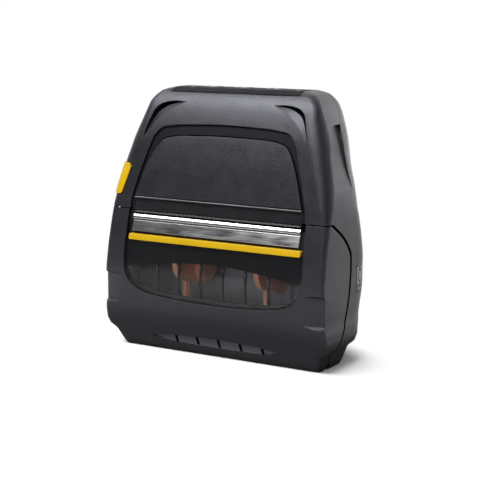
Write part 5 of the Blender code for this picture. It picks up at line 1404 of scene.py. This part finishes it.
repaint((
    (black_mat, ("strap_post_left", "strap_post_right", "power_socket", "battery_tray",
                 "print_head")),
    (panel_mat, ("control_panel",)),
    (dark_metal_mat, ("exit_bar",)),
    (steel_mat, ("platen_shaft", "latch_shaft", "guide_rail", "usb_socket", "hinge_pin_left",
                 "hinge_pin_right")),
    (satin_mat, ("platen_carrier", "head_heatsink", "mechanism_bracket", "drive_motor")),
    (brass_mat, ("platen_bush_left", "platen_bush_right", "motor_pinion", "battery_contacts")),
    (nylon_mat, ("platen_gear", "idler_gear")),
    (board_mat, ("main_board", "key_board")),
    (lens_mat, ("status_lens_left", "status_lens_right"))))


# Light, floor and camera

WHITE = (1.0, 1.0, 1.0, 1.0)
WORLD_FILL = 0.24
BACKDROP_YS = (-0.35, 0.75)
BACKDROP_TONES = (0.07, 1.0)
FLOOR_HALF = 4.0
FLOOR_Z = -0.0001
FLOOR_LIT = (0.2, 0.2, 0.2, 1.0)
FLOOR_SEEN = (0.96, 0.96, 0.96, 1.0)
# painted shadow: the floor seen in reflections goes from dark near the part to lighter away from
# it
FLOOR_MIRRORED_SHADE = (1.3, 3.2, 0.0, 0.6)
FLOOR_FADE = (1.05, 1.45)
OVAL_PLACE = (0.08, 0.2, 0.0)
OVAL_SCALE = (1 / 0.077, 1 / 0.045, 0.0)
TARGET = Vector((0.0, 0.0, 0.067063))
LENS_LENGTH = 100.125
CAMERA_PLACE = (31.338, 10.0194, 0.805853)


def rays(tree):
    """Camera rays, and one value for camera, glossy and transmission rays together."""
    path = add_node(tree, "LightPath", {}).outputs
    first = calculate(tree, "MAXIMUM", path["Is Camera Ray"], path["Is Glossy Ray"])
    return path["Is Camera Ray"], calculate(tree, "MAXIMUM", first, path["Is Transmission Ray"])


def blend(tree, share, first, second):
    """Mix of two shaders."""
    return add_node(tree, "MixShader", {"Fac": share, 1: first, 2: second}).outputs["Shader"]


def build_world():
    """White studio: even fill for light, white backdrop where it is seen, dimmer in front."""
    world = bpy.data.worlds.new("studio")
    bpy.context.scene.world = world
    world.use_nodes = True
    tree = world.node_tree
    tree.nodes.clear()
    camera, seen = rays(tree)
    fill = add_node(tree, "Background", {"Color": WHITE, "Strength": WORLD_FILL})
    backdrop = remap(tree, coordinate(tree, "Generated", "Y"), *BACKDROP_YS, *BACKDROP_TONES,
                     interpolation_type="SMOOTHSTEP")
    strength = calculate(tree, "MAXIMUM", camera, backdrop)
    white = add_node(tree, "Background", {"Color": WHITE, "Strength": strength})
    shader = blend(tree, seen, fill.outputs["Background"], white.outputs["Background"])
    add_node(tree, "OutputWorld", {"Surface": shader})


def floor_material():
    """Pale matt floor that glows white away from the part, for the camera alone; in reflections it
    is painted darker near the part, as painted shadow.
    """
    mat = bpy.data.materials.new("floor")
    mat.use_nodes = True
    tree = mat.node_tree
    shader = tree.nodes["Principled BSDF"]
    camera, seen = rays(tree)
    coords = add_node(tree, "TexCoord", {})
    oval = add_node(tree, "Mapping", {
        "Vector": coords.outputs["Object"], "Location": OVAL_PLACE, "Scale": OVAL_SCALE})
    reach = add_node(tree, "VectorMath", {0: oval.outputs["Vector"]}, operation="LENGTH")
    reach = reach.outputs["Value"]
    # Painted shadow in reflections: darker floor near the part.
    mirrored = calculate(tree, "MULTIPLY", seen, remap(tree, reach, *FLOOR_MIRRORED_SHADE))
    whole = calculate(tree, "MAXIMUM", mirrored, camera)
    tone = add_node(tree, "Mix", {"Factor": whole, "A": FLOOR_LIT, "B": FLOOR_SEEN},
                    data_type="RGBA")
    feed(tree, shader, {"Roughness": 0.9, "Specular IOR Level": 0.1,
                        "Base Color": tone.outputs["Result"]})
    fade = remap(tree, reach, *FLOOR_FADE, 0.0, 1.0, interpolation_type="SMOOTHSTEP")
    gate = calculate(tree, "MULTIPLY", fade, camera)
    glow = add_node(tree, "Emission", {"Strength": 1.0})
    surface = blend(tree, gate, shader.outputs["BSDF"], glow.outputs["Emission"])
    feed(tree, tree.nodes["Material Output"], {"Surface": surface})
    return mat


def build_floor():
    """Floor plane just below the part."""
    half = FLOOR_HALF
    mesh = bpy.data.meshes.new("floor")
    mesh.from_pydata([(-half, -half, FLOOR_Z), (half, -half, FLOOR_Z), (half, half, FLOOR_Z),
                      (-half, half, FLOOR_Z)], [], [(0, 1, 2, 3)])
    floor = bpy.data.objects.new("floor", mesh)
    bpy.context.scene.collection.objects.link(floor)
    mesh.materials.append(floor_material())


def aim(name, data, azimuth, elevation, distance):
    """Lamp or camera at a place round the part, turned to its middle."""
    obj = bpy.data.objects.new(name, data)
    bpy.context.scene.collection.objects.link(obj)
    a, e = math.radians(azimuth), math.radians(elevation)
    away = Vector((math.sin(a) * math.cos(e), -math.cos(a) * math.cos(e), math.sin(e)))
    obj.location = TARGET + away * distance
    obj.rotation_euler = (-away).to_track_quat("-Z", "Y").to_euler()
    return obj


def lamp(name, azimuth, elevation, distance, size, watts, mirrored=True):
    """Softbox that looks at the part."""
    light = bpy.data.lights.new(name, "AREA")
    light.shape = "RECTANGLE"
    light.size, light.size_y = size
    light.energy = watts
    obj = aim(name, light, azimuth, elevation, distance)
    obj.visible_camera = False
    obj.visible_glossy = mirrored


def build_camera():
    """Camera at the photograph's place."""
    data = bpy.data.cameras.new("camera")
    data.sensor_width = 36.0
    data.lens = LENS_LENGTH
    bpy.context.scene.camera = aim("camera", data, *CAMERA_PLACE)


build_world()
build_floor()
lamp("front_softbox", -22.0, 59.0, 1.25, (1.4, 0.6), 28.0)
lamp("back_softbox", 172.0, 8.0, 1.5, (1.0, 0.7), 4.0)
lamp("front_fill", 12.0, 10.0, 1.4, (0.7, 0.5), 7.0, mirrored=False)
build_camera()
bpy.context.scene.view_settings.view_transform = "Standard"
